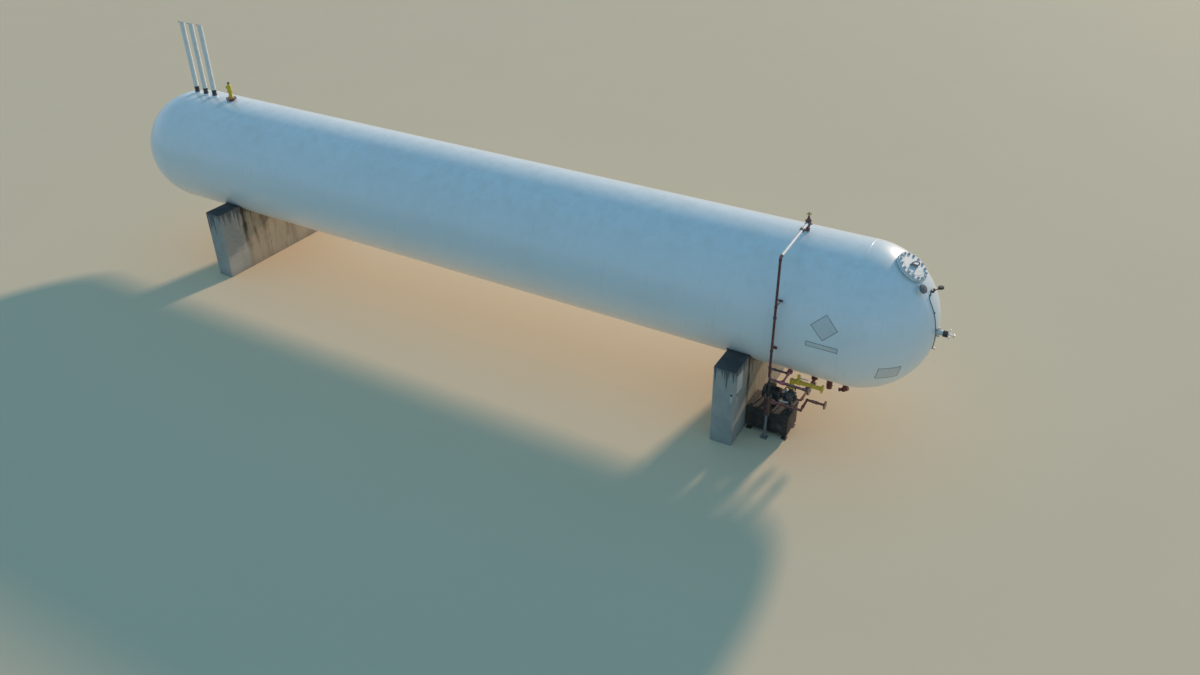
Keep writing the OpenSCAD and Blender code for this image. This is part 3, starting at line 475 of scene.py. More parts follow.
# The finishes: how each is made, and with what values
FINISHES = {
    "tank paint": (tank_paint, dict(color="white")),
    "near saddle concrete": (concrete, dict(runs=0.95, rust=0.40, cracks=0.15, ties=TIES)),
    "far saddle concrete": (concrete, dict(runs=0.90, rust=0.75, cracks=0.30)),
    "black felt": (felt, {}),
    "white fitting paint": (paint, dict(
        color="fitting", rough=0.42, dust=0.35, runs=0.35, blotches=0.22, rub=0.45, bare=(0.20, 0.13, 0.09),
        scale=5.0)),
    # a lighter, warmer copy of the fitting white: painted light for the bounce from the tank and the floor
    "vent pipe paint": (paint, dict(
        color=(0.88, 0.85, 0.80), rough=0.34, dust=0.20, runs=0.30, blotches=0.15, rub=0.35,
        bare=(0.20, 0.13, 0.09), scale=5.0)),
    "white nut paint": (paint, dict(
        color=(0.66, 0.67, 0.68), rough=0.45, dust=0.35, runs=0.30, blotches=0.30, rub=0.8,
        bare=(0.10, 0.075, 0.06), scale=12.0)),
    "dark red paint": (paint, dict(
        color="red", rough=0.26, coat=0.5, dust=0.40, runs=0.25, blotches=0.25, rub=0.6,
        bare=(0.30, 0.16, 0.12), scale=6.0)),
    "deep red paint": (paint, dict(
        color=(0.115, 0.006, 0.009), rough=0.28, coat=0.4, dust=0.30, runs=0.25, blotches=0.25, rub=0.5,
        bare=(0.24, 0.12, 0.09), scale=7.0)),
    "maroon paint": (paint, dict(
        color="maroon", rough=0.24, coat=0.5, dust=0.30, runs=0.20, blotches=0.25, rub=0.5,
        bare=(0.32, 0.14, 0.14), scale=6.0)),
    "cross pipe paint": (paint, dict(
        color=(0.40, 0.055, 0.100), rough=0.30, coat=0.4, dust=0.40, runs=0.25, blotches=0.25, rub=0.6,
        bare=(0.45, 0.22, 0.22), scale=7.0)),
    "dark pot paint": (paint, dict(
        color=(0.045, 0.010, 0.016), rough=0.30, coat=0.4, dust=0.35, runs=0.25, blotches=0.30, rub=0.6,
        bare=(0.20, 0.12, 0.10), scale=7.0)),
    "yellow paint": (paint, dict(
        color="yellow", rough=0.38, dust=0.35, runs=0.40, blotches=0.35, rub=0.7, bare=(0.16, 0.12, 0.07),
        scale=6.0, run_color=(0.20, 0.13, 0.04))),
    "pale yellow paint": (paint, dict(
        color=(0.62, 0.46, 0.12), rough=0.45, dust=0.4, runs=0.2, blotches=0.4, rub=0.8,
        bare=(0.14, 0.09, 0.06), scale=10.0)),
    "grey handle paint": (paint, dict(
        color=(0.27, 0.28, 0.29), rough=0.45, dust=0.35, runs=0.2, blotches=0.35, rub=0.6,
        bare=(0.12, 0.09, 0.07), scale=12.0, metallic=0.2)),
    "grey cap paint": (paint, dict(
        color=(0.13, 0.145, 0.16), rough=0.45, dust=0.55, runs=0.20, blotches=0.40, rub=0.6,
        bare=(0.10, 0.08, 0.07), scale=9.0, metallic=0.3)),
    "post paint": (paint, dict(
        color=(0.17, 0.185, 0.20), rough=0.48, dust=0.45, runs=0.45, blotches=0.35, rub=0.6,
        bare=(0.22, 0.12, 0.07), scale=6.0, metallic=0.2)),
    "gauge case paint": (paint, dict(
        color=(0.050, 0.042, 0.022), rough=0.30, dust=0.35, runs=0.10, blotches=0.35, rub=0.7,
        bare=(0.42, 0.33, 0.16), scale=12.0, metallic=0.45)),
    "dull dial paint": (paint, dict(
        color=(0.20, 0.23, 0.20), rough=0.35, dust=0.3, runs=0.1, blotches=0.35, rub=0.0, scale=14.0)),
    "blank plate paint": (paint, dict(
        color=(0.70, 0.71, 0.70), rough=0.40, dust=0.25, runs=0.25, blotches=0.12, rub=0.35,
        bare=(0.20, 0.19, 0.18), scale=4.0, width=0.002)),
    "plate border paint": (paint, dict(
        color=(0.060, 0.065, 0.075), rough=0.45, dust=0.3, runs=0.2, blotches=0.25, rub=0.0, scale=6.0)),
    "black paint": (paint, dict(
        color=(0.022, 0.022, 0.024), rough=0.40, dust=0.30, runs=0.10, blotches=0.20, rub=0.6,
        bare=(0.16, 0.15, 0.14), scale=8.0)),
    # the motor, pump and frame paints are near-black, darkened further as painted shade for the tank's
    # shadow over them
    "motor enamel": (paint, dict(
        color=(0.020, 0.024, 0.032), rough=0.42, dust=0.50, runs=0.25, blotches=0.40, rub=0.7,
        bare=(0.15, 0.12, 0.10), scale=7.0, fine=0.6, height=0.0012)),
    "pump enamel": (paint, dict(
        color=(0.030, 0.034, 0.040), rough=0.48, dust=0.55, runs=0.25, blotches=0.45, rub=0.7,
        bare=(0.17, 0.12, 0.09), scale=7.0, fine=0.6, height=0.0012)),
    "frame paint": (paint, dict(
        color=(0.012, 0.012, 0.014), rough=0.55, dust=0.35, runs=0.3, blotches=0.35, rub=0.7,
        bare=(0.20, 0.12, 0.08), scale=5.0)),
    "tube metal": (bare_metal, dict(color=(0.115, 0.125, 0.125), rough=0.40, brush=160.0, dust=0.25)),
    "fitting metal": (bare_metal, dict(color=(0.62, 0.55, 0.56), rough=0.36, brush=120.0, dust=0.25)),
    "nut zinc": (bare_metal, dict(color=(0.36, 0.35, 0.33), rough=0.42, brush=140.0, dust=0.35)),
    "cap metal": (bare_metal, dict(color=(0.46, 0.47, 0.48), rough=0.38, brush=70.0, dust=0.3)),
    "dial metal": (bare_metal, dict(color=(0.66, 0.67, 0.69), rough=0.22, brush=220.0, dust=0.1)),
}


@cache
def finish(name):
    """The material of that name, made when it is first asked for."""
    maker, values = FINISHES[name]
    return maker(name, **values)


def dress(name, *nodes):
    """Gives CAD nodes a finish."""
    for node in nodes:
        slots = NODES[node].material_slots
        if not slots:
            raise RuntimeError("%s has no material slot" % node)
        for slot in slots:
            slot.material = finish(name)


# Placements

HEAD_MIDDLE = Vector((NEAR_X, 0, AXIS_Z))
CLIP_LIFT = 0.0185


def spot(x, y, z):
    """A placement at a point, unturned."""
    return Matrix.Translation((x, y, z))


def facing(point, direction):
    """A placement at a point, with Z along a direction that isn't upright."""
    turn = Vector(direction).normalized().to_track_quat("Z", "Y")
    return Matrix.Translation(Vector(point)) @ turn.to_matrix().to_4x4()


def moved(place, x=0.0, y=0.0, z=0.0):
    """A placement moved along its own axes."""
    return place @ Matrix.Translation((x, y, z))


def spun(place, angle, axis="Z"):
    """A placement turned about one of its own axes."""
    return place @ Matrix.Rotation(angle, 4, axis)


def on_head(el, az=0.0):
    """A placement on the near head: Z points out of the head, X runs down the head, Y is level."""
    e, a = math.radians(el), math.radians(az)
    z = Vector((math.cos(e) * math.cos(a), math.cos(e) * math.sin(a), math.sin(e)))
    x = Vector((math.sin(e) * math.cos(a), math.sin(e) * math.sin(a), -math.cos(e)))
    m = Matrix((x, z.cross(x), z)).transposed().to_4x4()
    m.translation = HEAD_MIDDLE + z * RAD
    return m


def onto_head(point, lift):
    """The point's place on the near head, lifted off its skin."""
    return HEAD_MIDDLE + (Vector(point) - HEAD_MIDDLE).normalized() * (RAD + lift)


def clip_on_head(point):
    """A placement on the near head at a point, a clip's height off the skin, with Z out of the head."""
    way = (Vector(point) - HEAD_MIDDLE).normalized()
    return facing(HEAD_MIDDLE + way * (RAD + CLIP_LIFT), way)


def circle(radius, steps):
    """Points (x, y) round the middle."""
    turns = [math.tau * k / steps for k in range(steps)]
    return [(radius * math.cos(a), radius * math.sin(a)) for a in turns]


# Forms

EDGE = 1e-9
BEND_STEPS = 8


class Form:
    """Collects closed bodies in one mesh. Sizes are in metres and places in the shared frame."""

    def __init__(self):
        self.bm = bmesh.new()

    def add_faces(self, corners):
        """Adds a body's faces by their corners, turned outward."""
        faces = [self.bm.faces.new(corner) for corner in corners]
        bmesh.ops.recalc_face_normals(self.bm, faces=faces)
        return faces

    def lathe(self, profile, place, steps=48):
        """Turns (radius, height) points about Z. Radius 0 is a pole; a profile without poles is closed."""
        rings = []
        for r, h in profile:
            around = circle(r, steps) if r > EDGE else [(0, 0)]
            rings.append([self.bm.verts.new(place @ Vector((x, y, h))) for x, y in around])
        pairs = list(zip(rings, rings[1:]))
        if profile[0][0] > EDGE and profile[-1][0] > EDGE:
            pairs.append((rings[-1], rings[0]))
        corners = []
        for a, b in pairs:
            for k in range(steps):
                n = (k + 1) % steps
                corner = dict.fromkeys((a[k % len(a)], a[n % len(a)], b[n % len(b)], b[k % len(b)]))
                if len(corner) > 2:
                    corners.append(list(corner))
        self.add_faces(corners)

    def solid(self, profile, place, steps=48):
        """Turns a profile, and closes it flat at its foot and its top."""
        self.lathe([(0, profile[0][1]), *profile, (0, profile[-1][1])], place, steps)

    def rod(self, radius, low, high, place, steps=48):
        """A plain cylinder between two heights."""
        self.solid([(radius, low), (radius, high)], place, steps)

    def disc(self, radius, low, high, place, edge=0.002, steps=48):
        """A cylinder with chamfered edges."""
        side = [(radius - edge, low), (radius, low + edge), (radius, high - edge), (radius - edge, high)]
        self.solid(side, place, steps)

    def collar(self, radius, low, high, place):
        """A sleeve round a pipe, with soft ends."""
        self.disc(radius, low, high, place, 0.003, 32)

    def nut(self, flats, height, place, low=0.0):
        """A hexagon with chamfered ends."""
        self.disc(flats / math.sqrt(3), low, low + height, place, flats * 0.06, 6)

    def prism(self, outline, low, high, place, bevel):
        """A prism from a closed outline of (x, y) points between two heights, with rounded edges."""
        bottom, top = ([self.bm.verts.new(place @ Vector((x, y, z))) for x, y in outline]
                       for z in (low, high))
        n = len(outline)
        walls = [[bottom[k], bottom[(k + 1) % n], top[(k + 1) % n], top[k]] for k in range(n)]
        faces = self.add_faces([list(reversed(bottom)), top, *walls])
        edges = list(dict.fromkeys(e for f in faces for e in f.edges))
        bmesh.ops.bevel(self.bm, geom=edges, offset=bevel, segments=2, profile=0.7, affect="EDGES")

    def block(self, size, place, bevel=0.002):
        """A box centred on its place, with rounded edges."""
        x, y, z = (s / 2 for s in size)
        self.prism([(-x, -y), (x, -y), (x, y), (-x, y)], -z, z, place, bevel)

    def pipe(self, points, radius, bend=0.0, steps=24):
        """Sweeps a round bar along points, with round bends."""
        path = rounded_path([Vector(p) for p in points], bend)
        side = None
        rings = []
        for i, p in enumerate(path):
            way = (path[min(i + 1, len(path) - 1)] - path[max(i - 1, 0)]).normalized()
            side = side or way.orthogonal().normalized()
            side = (side - way * side.dot(way)).normalized()
            across = way.cross(side)
            rings.append([self.bm.verts.new(p + side * x + across * y) for x, y in circle(radius, steps)])
        corners = [[a[k], a[(k + 1) % steps], b[(k + 1) % steps], b[k]]
                   for a, b in zip(rings, rings[1:]) for k in range(steps)]
        self.add_faces([*corners, list(reversed(rings[0])), rings[-1]])

    def bend_ring(self, place, radius, bar, steps, bar_steps):
        """A round bar bent into a ring about Z."""
        rings = []
        for x, y in circle(1, steps):
            ring = [Vector((x, y, 0)) * (radius + out) + Vector((0, 0, up))
                    for out, up in circle(bar, bar_steps)]
            rings.append([self.bm.verts.new(place @ p) for p in ring])
        self.add_faces([[a[j], b[j], b[(j + 1) % bar_steps], a[(j + 1) % bar_steps]]
                        for a, b in zip(rings, rings[1:] + rings[:1]) for j in range(bar_steps)])

    def sheet(self, place, u, v, low, high, steps):
        """A thin closed sheet over [-u, u] by [-v, v], laid where place(a, b, lift) says."""
        spots = [(-u + 2 * u * i / steps, [-v + 2 * v * j / steps for j in range(steps + 1)])
                 for i in range(steps + 1)]
        under, over = ([[self.bm.verts.new(place(a, b, lift)) for b in row] for a, row in spots]
                       for lift in (low, high))
        corners = [[g[i][j], g[i + 1][j], g[i + 1][j + 1], g[i][j + 1]]
                   for g in (under, over) for i in range(steps) for j in range(steps)]
        rim = [(i, 0) for i in range(steps)] + [(steps, j) for j in range(steps)]
        rim += [(steps - i, steps - j) for i, j in rim]
        corners += [[under[a][b], under[c][d], over[c][d], over[a][b]]
                    for (a, b), (c, d) in zip(rim, rim[1:] + rim[:1])]
        self.add_faces(corners)

    def border(self, place, u, v, wide, low, high, steps):
        """A thin border line round a sheet, made of four bars."""
        h = wide / 2
        bars = ((0, v - h, u, h), (0, -v + h, u, h), (u - h, 0, h, v - wide), (-u + h, 0, h, v - wide))
        for x, y, long, tall in bars:
            self.sheet(lambda a, b, lift: place(x + a, y + b, lift), long, tall, low, high, steps)

    def add(self, mesh, place):
        """Moves a finished mesh to a place and takes it in."""
        mesh.transform(place)
        self.bm.from_mesh(mesh)
        bpy.data.meshes.remove(mesh)

    def studs(self, place, count, ring, flats, height, stud, seed, turn=0.0):
        """Adds a ring of zinc nuts on studs."""
        nuts = grow(stud_ring(), Count=count, Ring_radius=ring, Nut_radius=flats / math.sqrt(3),
                    Nut_height=height, Stud_radius=stud, Stud_length=height + flats * 0.45, Seed=seed,
                    Turn=turn, Material=finish("nut zinc"))
        self.add(nuts, place)

    def piece(self, name, material, slot, *replaces, angle=32):
        """Makes the object, smooths its round faces and hangs it under the root empty."""
        mesh = bpy.data.meshes.new(name)
        bmesh.ops.remove_doubles(self.bm, verts=self.bm.verts, dist=1e-6)
        self.bm.to_mesh(mesh)
        self.bm.free()
        mesh.materials.clear()
        mesh.materials.append(finish(material))
        for p in mesh.polygons:
            p.material_index = 0
        mesh.shade_smooth()
        mesh.set_sharp_from_angle(angle=math.radians(angle))
        obj = bpy.data.objects.new(name, mesh)
        bpy.context.scene.collection.objects.link(obj)
        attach(obj, "root")
        if replaces:
            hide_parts(*replaces)

    def stand_for(self, node, name, material, angle=30):
        """Makes the piece that takes a CAD node's place."""
        self.piece(name, material, SLOTS[node], node, angle=angle)


def rounded_path(points, bend):
    """Replaces each inner corner of a path by an arc."""
    if bend <= 0 or len(points) < 3:
        return points
    path = [points[0]]
    for a, b, c in zip(points, points[1:], points[2:]):
        u, v = (a - b).normalized(), (c - b).normalized()
        half = u.angle(v) / 2
        if half > math.radians(89.5):
            path.append(b)
            continue
        reach = min(bend / math.tan(half), (a - b).length * 0.49, (c - b).length * 0.49)
        centre = b + (u + v).normalized() * (reach * math.tan(half) / math.sin(half))
        p, q = b + u * reach - centre, b + v * reach - centre
        turn, axis = p.angle(q), p.cross(q).normalized()
        path += [centre + Matrix.Rotation(turn * k / BEND_STEPS, 3, axis) @ p for k in range(BEND_STEPS + 1)]
    path.append(points[-1])
    return path


# Geometry nodes

STUD_SIDES = 12
MOST_NUT_TURN = 1.05
BEAD_SIDES = 8
RIPPLE_SCALE = 45.0


def new_geometry(name, **inputs):
    """An empty geometry tree with a Material input. Its input names have _ for each space."""
    labels = {key.replace("_", " "): value for key, value in inputs.items()}
    outputs = {"Geometry": "NodeSocketGeometry"}
    return new_tree(name, "GeometryNodeTree", {**labels, "Material": None}, outputs)


def close_geometry(w, s, end, geometry):
    """Ends a tree in Realize Instances and Set Material."""
    real = w.node("GeometryNodeRealizeInstances", Geometry=geometry)
    mat = w.node("GeometryNodeSetMaterial", Geometry=real.outputs["Geometry"], Material=s["Material"])
    return close_group(w, end, mat.outputs["Geometry"])


def standing_bar(w, sides, radius, length):
    """A bar that stands on the ground plane."""
    bar = w.node("GeometryNodeMeshCylinder", Vertices=sides, Radius=radius, Depth=length)
    half = w.joined(0.0, 0.0, w.maths("DIVIDE", length, 2.0))
    raised = w.node("GeometryNodeTransform", Geometry=bar.outputs["Mesh"], Translation=half)
    return raised.outputs["Geometry"]


@cache
def stud_ring():
    """A ring of hexagon nuts on studs, each turned a little differently."""
    w, s, end = new_geometry("stud ring", Count=8, Ring_radius=0.1, Nut_radius=0.012, Nut_height=0.01,
                             Stud_radius=0.006, Stud_length=0.02, Turn=0.0, Seed=3)
    ring = w.node("GeometryNodeMeshCircle", Vertices=s["Count"], Radius=s["Ring radius"]).outputs["Mesh"]
    both = w.node("GeometryNodeJoinGeometry")
    w.put(both.inputs[0], standing_bar(w, 6, s["Nut radius"], s["Nut height"]))
    w.put(both.inputs[0], standing_bar(w, STUD_SIDES, s["Stud radius"], s["Stud length"]))
    spin = w.node("FunctionNodeRandomValue", None, None, 0.0, MOST_NUT_TURN, data_type="FLOAT",
                  Seed=s["Seed"])
    put = w.node("GeometryNodeInstanceOnPoints", Points=ring, Instance=both.outputs[0],
                 Rotation=w.joined(0.0, 0.0, spin.outputs[1]))
    turn = w.node("GeometryNodeTransform", Geometry=put.outputs[0], Rotation=w.joined(0.0, 0.0, s["Turn"]))
    return close_geometry(w, s, end, turn.outputs["Geometry"])


@cache
def fin_ring():
    """Flat fins that stand out from a round body along its length."""
    w, s, end = new_geometry("fin ring", Count=30, Ring_radius=0.1, Fin_height=0.02, Fin_width=0.004,
                             Fin_length=0.2)
    ring = w.node("GeometryNodeMeshCircle", Vertices=s["Count"], Radius=s["Ring radius"]).outputs["Mesh"]
    size = w.joined(s["Fin height"], s["Fin width"], s["Fin length"])
    fin = w.node("GeometryNodeMeshCube", Size=size).outputs["Mesh"]
    out = w.node("GeometryNodeInputPosition").outputs[0]
    face = w.node("FunctionNodeAlignRotationToVector", axis="X", Vector=out).outputs[0]
    put = w.node("GeometryNodeInstanceOnPoints", Points=ring, Instance=fin, Rotation=face)
    return close_geometry(w, s, end, put.outputs[0])


@cache
def weld_ring():
    """A low weld bead round a circle, rippled along its run."""
    w, s, end = new_geometry("weld ring", Ring_radius=1.0, Bead_width=0.012, Bead_height=0.003, Steps=256,
                             Ripple=0.0006)
    ring = w.node("GeometryNodeCurvePrimitiveCircle", mode="RADIUS", Resolution=s["Steps"],
                  Radius=s["Ring radius"]).outputs["Curve"]
    bead = w.node("GeometryNodeCurvePrimitiveCircle", mode="RADIUS", Resolution=BEAD_SIDES, Radius=0.5)
    flat = w.node("GeometryNodeTransform", Geometry=bead.outputs["Curve"],
                  Scale=w.joined(w.times(s["Bead height"], 2.0), s["Bead width"], 1.0))
    body = w.node("GeometryNodeCurveToMesh", Curve=ring, Profile_Curve=flat.outputs["Geometry"])
    shake = w.noise(w.node("GeometryNodeInputPosition").outputs[0], RIPPLE_SCALE, 2.0, 0.5)
    push = w.scaled(w.node("GeometryNodeInputNormal").outputs[0], w.times(w.minus(shake, 0.5), s["Ripple"]))
    moved_body = w.node("GeometryNodeSetPosition", Geometry=body.outputs["Mesh"], Offset=push)
    return close_geometry(w, s, end, moved_body.outputs["Geometry"])


def grow(tree, **values):
    """Runs a geometry tree with the given inputs and returns the plain mesh."""
    holder = bpy.data.objects.new("holder", bpy.data.meshes.new("holder"))
    bpy.context.scene.collection.objects.link(holder)
    mod = holder.modifiers.new(tree.name, "NODES")
    mod.node_group = tree
    sockets = {item.name: item.identifier for item in tree.interface.items_tree if item.in_out == "INPUT"}
    for key, value in values.items():
        mod[sockets[key.replace("_", " ")]] = value
    graph = bpy.context.evaluated_depsgraph_get()
    graph.update()
    mesh = bpy.data.meshes.new_from_object(holder.evaluated_get(graph))
    holder.modifiers.clear()
    bpy.data.objects.remove(holder)
    if not mesh.polygons:
        raise RuntimeError("%s made an empty mesh" % tree.name)
    return mesh


# Settings

class TankSizes(bpy.types.PropertyGroup):
    """Sizes of the small parts that the scene adds."""

    weld_width: bpy.props.FloatProperty(
        name="Weld width", description="Width of the bead at the head seams", default=0.016, min=0.004,
        unit="LENGTH")
    weld_height: bpy.props.FloatProperty(
        name="Weld height", description="Height of the bead at the head seams", default=0.0035, min=0.001,
        unit="LENGTH")
    manway_studs: bpy.props.IntProperty(
        name="Manway studs", description="Number of studs round the manway cover", default=16, min=8, max=32)
    manway_circle: bpy.props.FloatProperty(
        name="Manway bolt circle", description="Diameter of the stud circle", default=0.536, unit="LENGTH")
    manway_nut: bpy.props.FloatProperty(
        name="Manway nut", description="Width across the flats of a manway nut", default=0.046,
        unit="LENGTH")
    motor_fins: bpy.props.IntProperty(
        name="Motor fins", description="Number of cooling fins round the motor", default=34, min=12, max=60)


class TankColors(bpy.types.PropertyGroup):
    """Paint and concrete colours."""

    white: bpy.props.FloatVectorProperty(
        name="Tank white", description="Paint of shell and heads", subtype="COLOR",
        default=(0.83, 0.87, 0.88))
    fitting: bpy.props.FloatVectorProperty(
        name="Fitting white", description="Paint of pipes and fittings", subtype="COLOR",
        default=(0.76, 0.77, 0.77))
    red: bpy.props.FloatVectorProperty(
        name="Dark red", description="Paint of the liquid lines", subtype="COLOR",
        default=(0.165, 0.009, 0.014))
    maroon: bpy.props.FloatVectorProperty(
        name="Maroon", description="Paint of the vapour line", subtype="COLOR",
        default=(0.105, 0.007, 0.022))
    yellow: bpy.props.FloatVectorProperty(
        name="Yellow", description="Paint of the yellow line and the fill valve", subtype="COLOR",
        default=(0.82, 0.54, 0.035))
    pale: bpy.props.FloatVectorProperty(
        name="Concrete pale", description="Clean concrete", subtype="COLOR", default=(0.47, 0.45, 0.41))
    # Concrete dark also goes into the painted shade on the saddle tops
    dark: bpy.props.FloatVectorProperty(
        name="Concrete dark", description="Wet or soiled concrete", subtype="COLOR",
        default=(0.115, 0.120, 0.125))


class StageSettings(bpy.types.PropertyGroup):
    """Floor, backdrop and lamps."""

    floor: bpy.props.FloatVectorProperty(
        name="Floor", description="Colour of the floor", subtype="COLOR", default=(0.86, 0.66, 0.45))
    seen: bpy.props.FloatVectorProperty(
        name="Backdrop", description="Colour that the camera and reflections see above the floor",
        subtype="COLOR", default=(0.66, 0.74, 0.82))
    fill: bpy.props.FloatVectorProperty(
        name="Fill", description="Colour of the even light", subtype="COLOR", default=(0.30, 0.68, 1.0))
    fill_strength: bpy.props.FloatProperty(
        name="Fill strength", description="Strength of the even light", default=0.50, min=0.0)
    key: bpy.props.FloatVectorProperty(
        name="Key", description="Colour of the main lamp", subtype="COLOR", default=(1.0, 0.79, 0.60))
    key_strength: bpy.props.FloatProperty(
        name="Key strength", description="Strength of the soft main lamp", default=2.72, min=0.0)
    key_angle: bpy.props.FloatProperty(
        name="Key softness", description="Angle of the main lamp", default=math.radians(5), subtype="ANGLE")
    key_height: bpy.props.FloatProperty(
        name="Key height", description="Height of the main lamp over the horizon", default=math.radians(19),
        subtype="ANGLE")
    key_turn: bpy.props.FloatProperty(
        name="Key turn", description="Direction that the main lamp shines from, counted from +Y toward +X",
        default=math.radians(10), subtype="ANGLE")


# Stage

FLOOR_HALF = 150.0
CAMERA_AT = (5.20, -15.109, 11.725)
CAMERA_YAW, CAMERA_PITCH = math.radians(-28.88), math.radians(-30.04)
SENSOR, LENS = 36.0, 28.32
SHIFT_X, SHIFT_Y = -0.01734, -0.04361
FAR_CLIP = 500.0


def toward(turn, height):
    """The direction at a turn, counted from +Y toward +X, and a height over the horizon."""
    return Vector((math.sin(turn) * math.cos(height), math.cos(turn) * math.cos(height), math.sin(height)))


class PRESSURE_TANK_OT_stage(bpy.types.Operator):
    """Adds the floor, the lamps, the even light and the camera"""

    bl_idname = "pressure_tank.stage"
    bl_label = "Stage"

    def execute(self, context):
        self.floor(context)
        self.light(context)
        self.camera(context)
        context.scene.view_settings.view_transform = "Standard"
        return {"FINISHED"}

    def floor(self, context):
        """Lays the level floor."""
        r = FLOOR_HALF
        mesh = bpy.data.meshes.new("floor")
        mesh.from_pydata([(-r, -r, 0), (r, -r, 0), (r, r, 0), (-r, r, 0)], [], [(0, 1, 2, 3)])
        floor = bpy.data.objects.new("floor", mesh)
        context.scene.collection.objects.link(floor)
        mat, w, shader = blank_material("floor")
        plain = context.scene.tank_stage.floor
        pale = tuple(min(1.0, c * 1.03) for c in plain)
        color = w.mixed(w.noise(w.place(), 0.35, 3.0, 0.5), plain, pale)
        set_shader(w, shader, Base_Color=color, Roughness=0.9, Specular_IOR_Level=0.2)
        mesh.materials.append(mat)

    def light(self, context):
        """Sets the even light and the main lamp."""
        s = context.scene.tank_stage
        world = bpy.data.worlds.new("even light")
        context.scene.world = world
        world.use_nodes = True
        world.node_tree.nodes.clear()
        w = Wiring(world.node_tree)
        light = w.node("ShaderNodeBackground", s.fill, s.fill_strength)
        seen = w.node("ShaderNodeBackground", s.seen, 1.0)
        rays = w.node("ShaderNodeLightPath").outputs
        direct = w.larger(rays["Is Camera Ray"], rays["Is Glossy Ray"])
        direct = w.larger(direct, rays["Is Transmission Ray"])
        mix = w.node("ShaderNodeMixShader", direct, light.outputs[0], seen.outputs[0])
        w.node("ShaderNodeOutputWorld", mix.outputs[0])
        lamp = bpy.data.lights.new("key lamp", "SUN")
        lamp.energy = s.key_strength
        lamp.angle = s.key_angle
        lamp.color = s.key
        key = bpy.data.objects.new("key lamp", lamp)
        context.scene.collection.objects.link(key)
        key.rotation_mode = "QUATERNION"
        key.rotation_quaternion = toward(s.key_turn, s.key_height).to_track_quat("Z", "Y")

    def camera(self, context):
        """Sets the camera where the photograph was taken from."""
        data = bpy.data.cameras.new("camera")
        camera = bpy.data.objects.new("camera", data)
        context.scene.collection.objects.link(camera)
        ahead = toward(CAMERA_YAW, CAMERA_PITCH)
        right = Vector((math.cos(CAMERA_YAW), -math.sin(CAMERA_YAW), 0))
        m = Matrix((right, right.cross(ahead), -ahead)).transposed().to_4x4()
        m.translation = Vector(CAMERA_AT)
        camera.matrix_world = m
        data.sensor_width = SENSOR
        data.lens = LENS
        data.shift_x = SHIFT_X
        data.shift_y = SHIFT_Y
        data.clip_end = FAR_CLIP
        context.scene.camera = camera


# Pieces

def sizes():
    return bpy.context.scene.tank_sizes


class PRESSURE_TANK_OT_shell(bpy.types.Operator):
    """Paints shell and heads and adds the weld beads at the head seams"""

    bl_idname = "pressure_tank.shell"
    bl_label = "Shell and heads"

    def execute(self, context):
        dress("tank paint", "shell", "head_near", "head_far", "manway_neck")
        s = sizes()
        form = Form()
        for x in (NEAR_X, FAR_X):
            bead = grow(weld_ring(), Ring_radius=RAD + 0.0002, Bead_width=s.weld_width,
                        Bead_height=s.weld_height, Steps=360, Ripple=0.0015, Material=finish("tank paint"))
            form.add(bead, facing((x, 0, AXIS_Z), AHEAD))
        form.piece("head_seam_welds", "tank paint", "tank_white", angle=60)
        return {"FINISHED"}


class PRESSURE_TANK_OT_saddles(bpy.types.Operator):
    """Gives the saddles their concrete and the felt its nap"""

    bl_idname = "pressure_tank.saddles"
    bl_label = "Saddles"

    def execute(self, context):
        dress("near saddle concrete", "saddle_near")
        dress("far saddle concrete", "saddle_far")
        dress("black felt", "felt_strips")
        return {"FINISHED"}


class PRESSURE_TANK_OT_manway(bpy.types.Operator):
    """Adds the manway cover with its studs, nuts and lifting handle"""

    bl_idname = "pressure_tank.manway"
    bl_label = "Manway"

    def execute(self, context):
        s = sizes()
        form = Form()
        at = on_head(57, -4)
        # the neck's flange begins at this height, and the cover lies on a joint over it
        flange = 0.002
        low = flange + 0.026 + 0.004
        top = low + 0.026
        form.solid([(0.309, low), (0.312, low + 0.003), (0.312, top - 0.004), (0.308, top), (0.215, top),
                    (0.209, top + 0.004)], at, 96)
        form.rod(0.205, low - 0.004, low + 0.001, at, 64)
        form.stand_for("manway_cover", "manway_cover_plate", "white fitting paint")
        # nuts over the cover and under the flange
        nuts = Form()
        ring = dict(Count=s.manway_studs, Ring_radius=s.manway_circle / 2,
                    Nut_radius=s.manway_nut / math.sqrt(3), Stud_radius=0.0145,
                    Material=finish("white fitting paint"))
        nuts.add(grow(stud_ring(), Nut_height=0.026, Stud_length=0.038, Seed=5, **ring), moved(at, z=top))
        nuts.add(grow(stud_ring(), Nut_height=0.024, Stud_length=0.028, Seed=9, **ring),
                 spun(moved(at, z=flange), math.pi, "X"))
        nuts.piece("manway_nuts", "white nut paint", "fitting_white")
        # handle: a bent bar, the web between its legs and two feet
        handle = Form()
        base = spun(moved(at, z=top + 0.003), math.radians(40))
        h = 0.067
        turns = [math.pi * k / 16 for k in range(17)]
        bow = [(-h * math.cos(a), 0, 0.05 + h * math.sin(a)) for a in turns]
        handle.pipe([base @ Vector(p) for p in ((-h, 0, 0), *bow, (h, 0, 0))], 0.012, steps=16)
        handle.block((2 * h, 0.018, 0.052), moved(base, z=0.026), 0.002)
        for x in (-h, h):
            handle.solid([(0.024, -0.002), (0.021, 0.008), (0.0135, 0.014)], moved(base, x=x), 20)
        handle.stand_for("manway_handle", "manway_lifting_handle", "grey handle paint", angle=50)
        return {"FINISHED"}


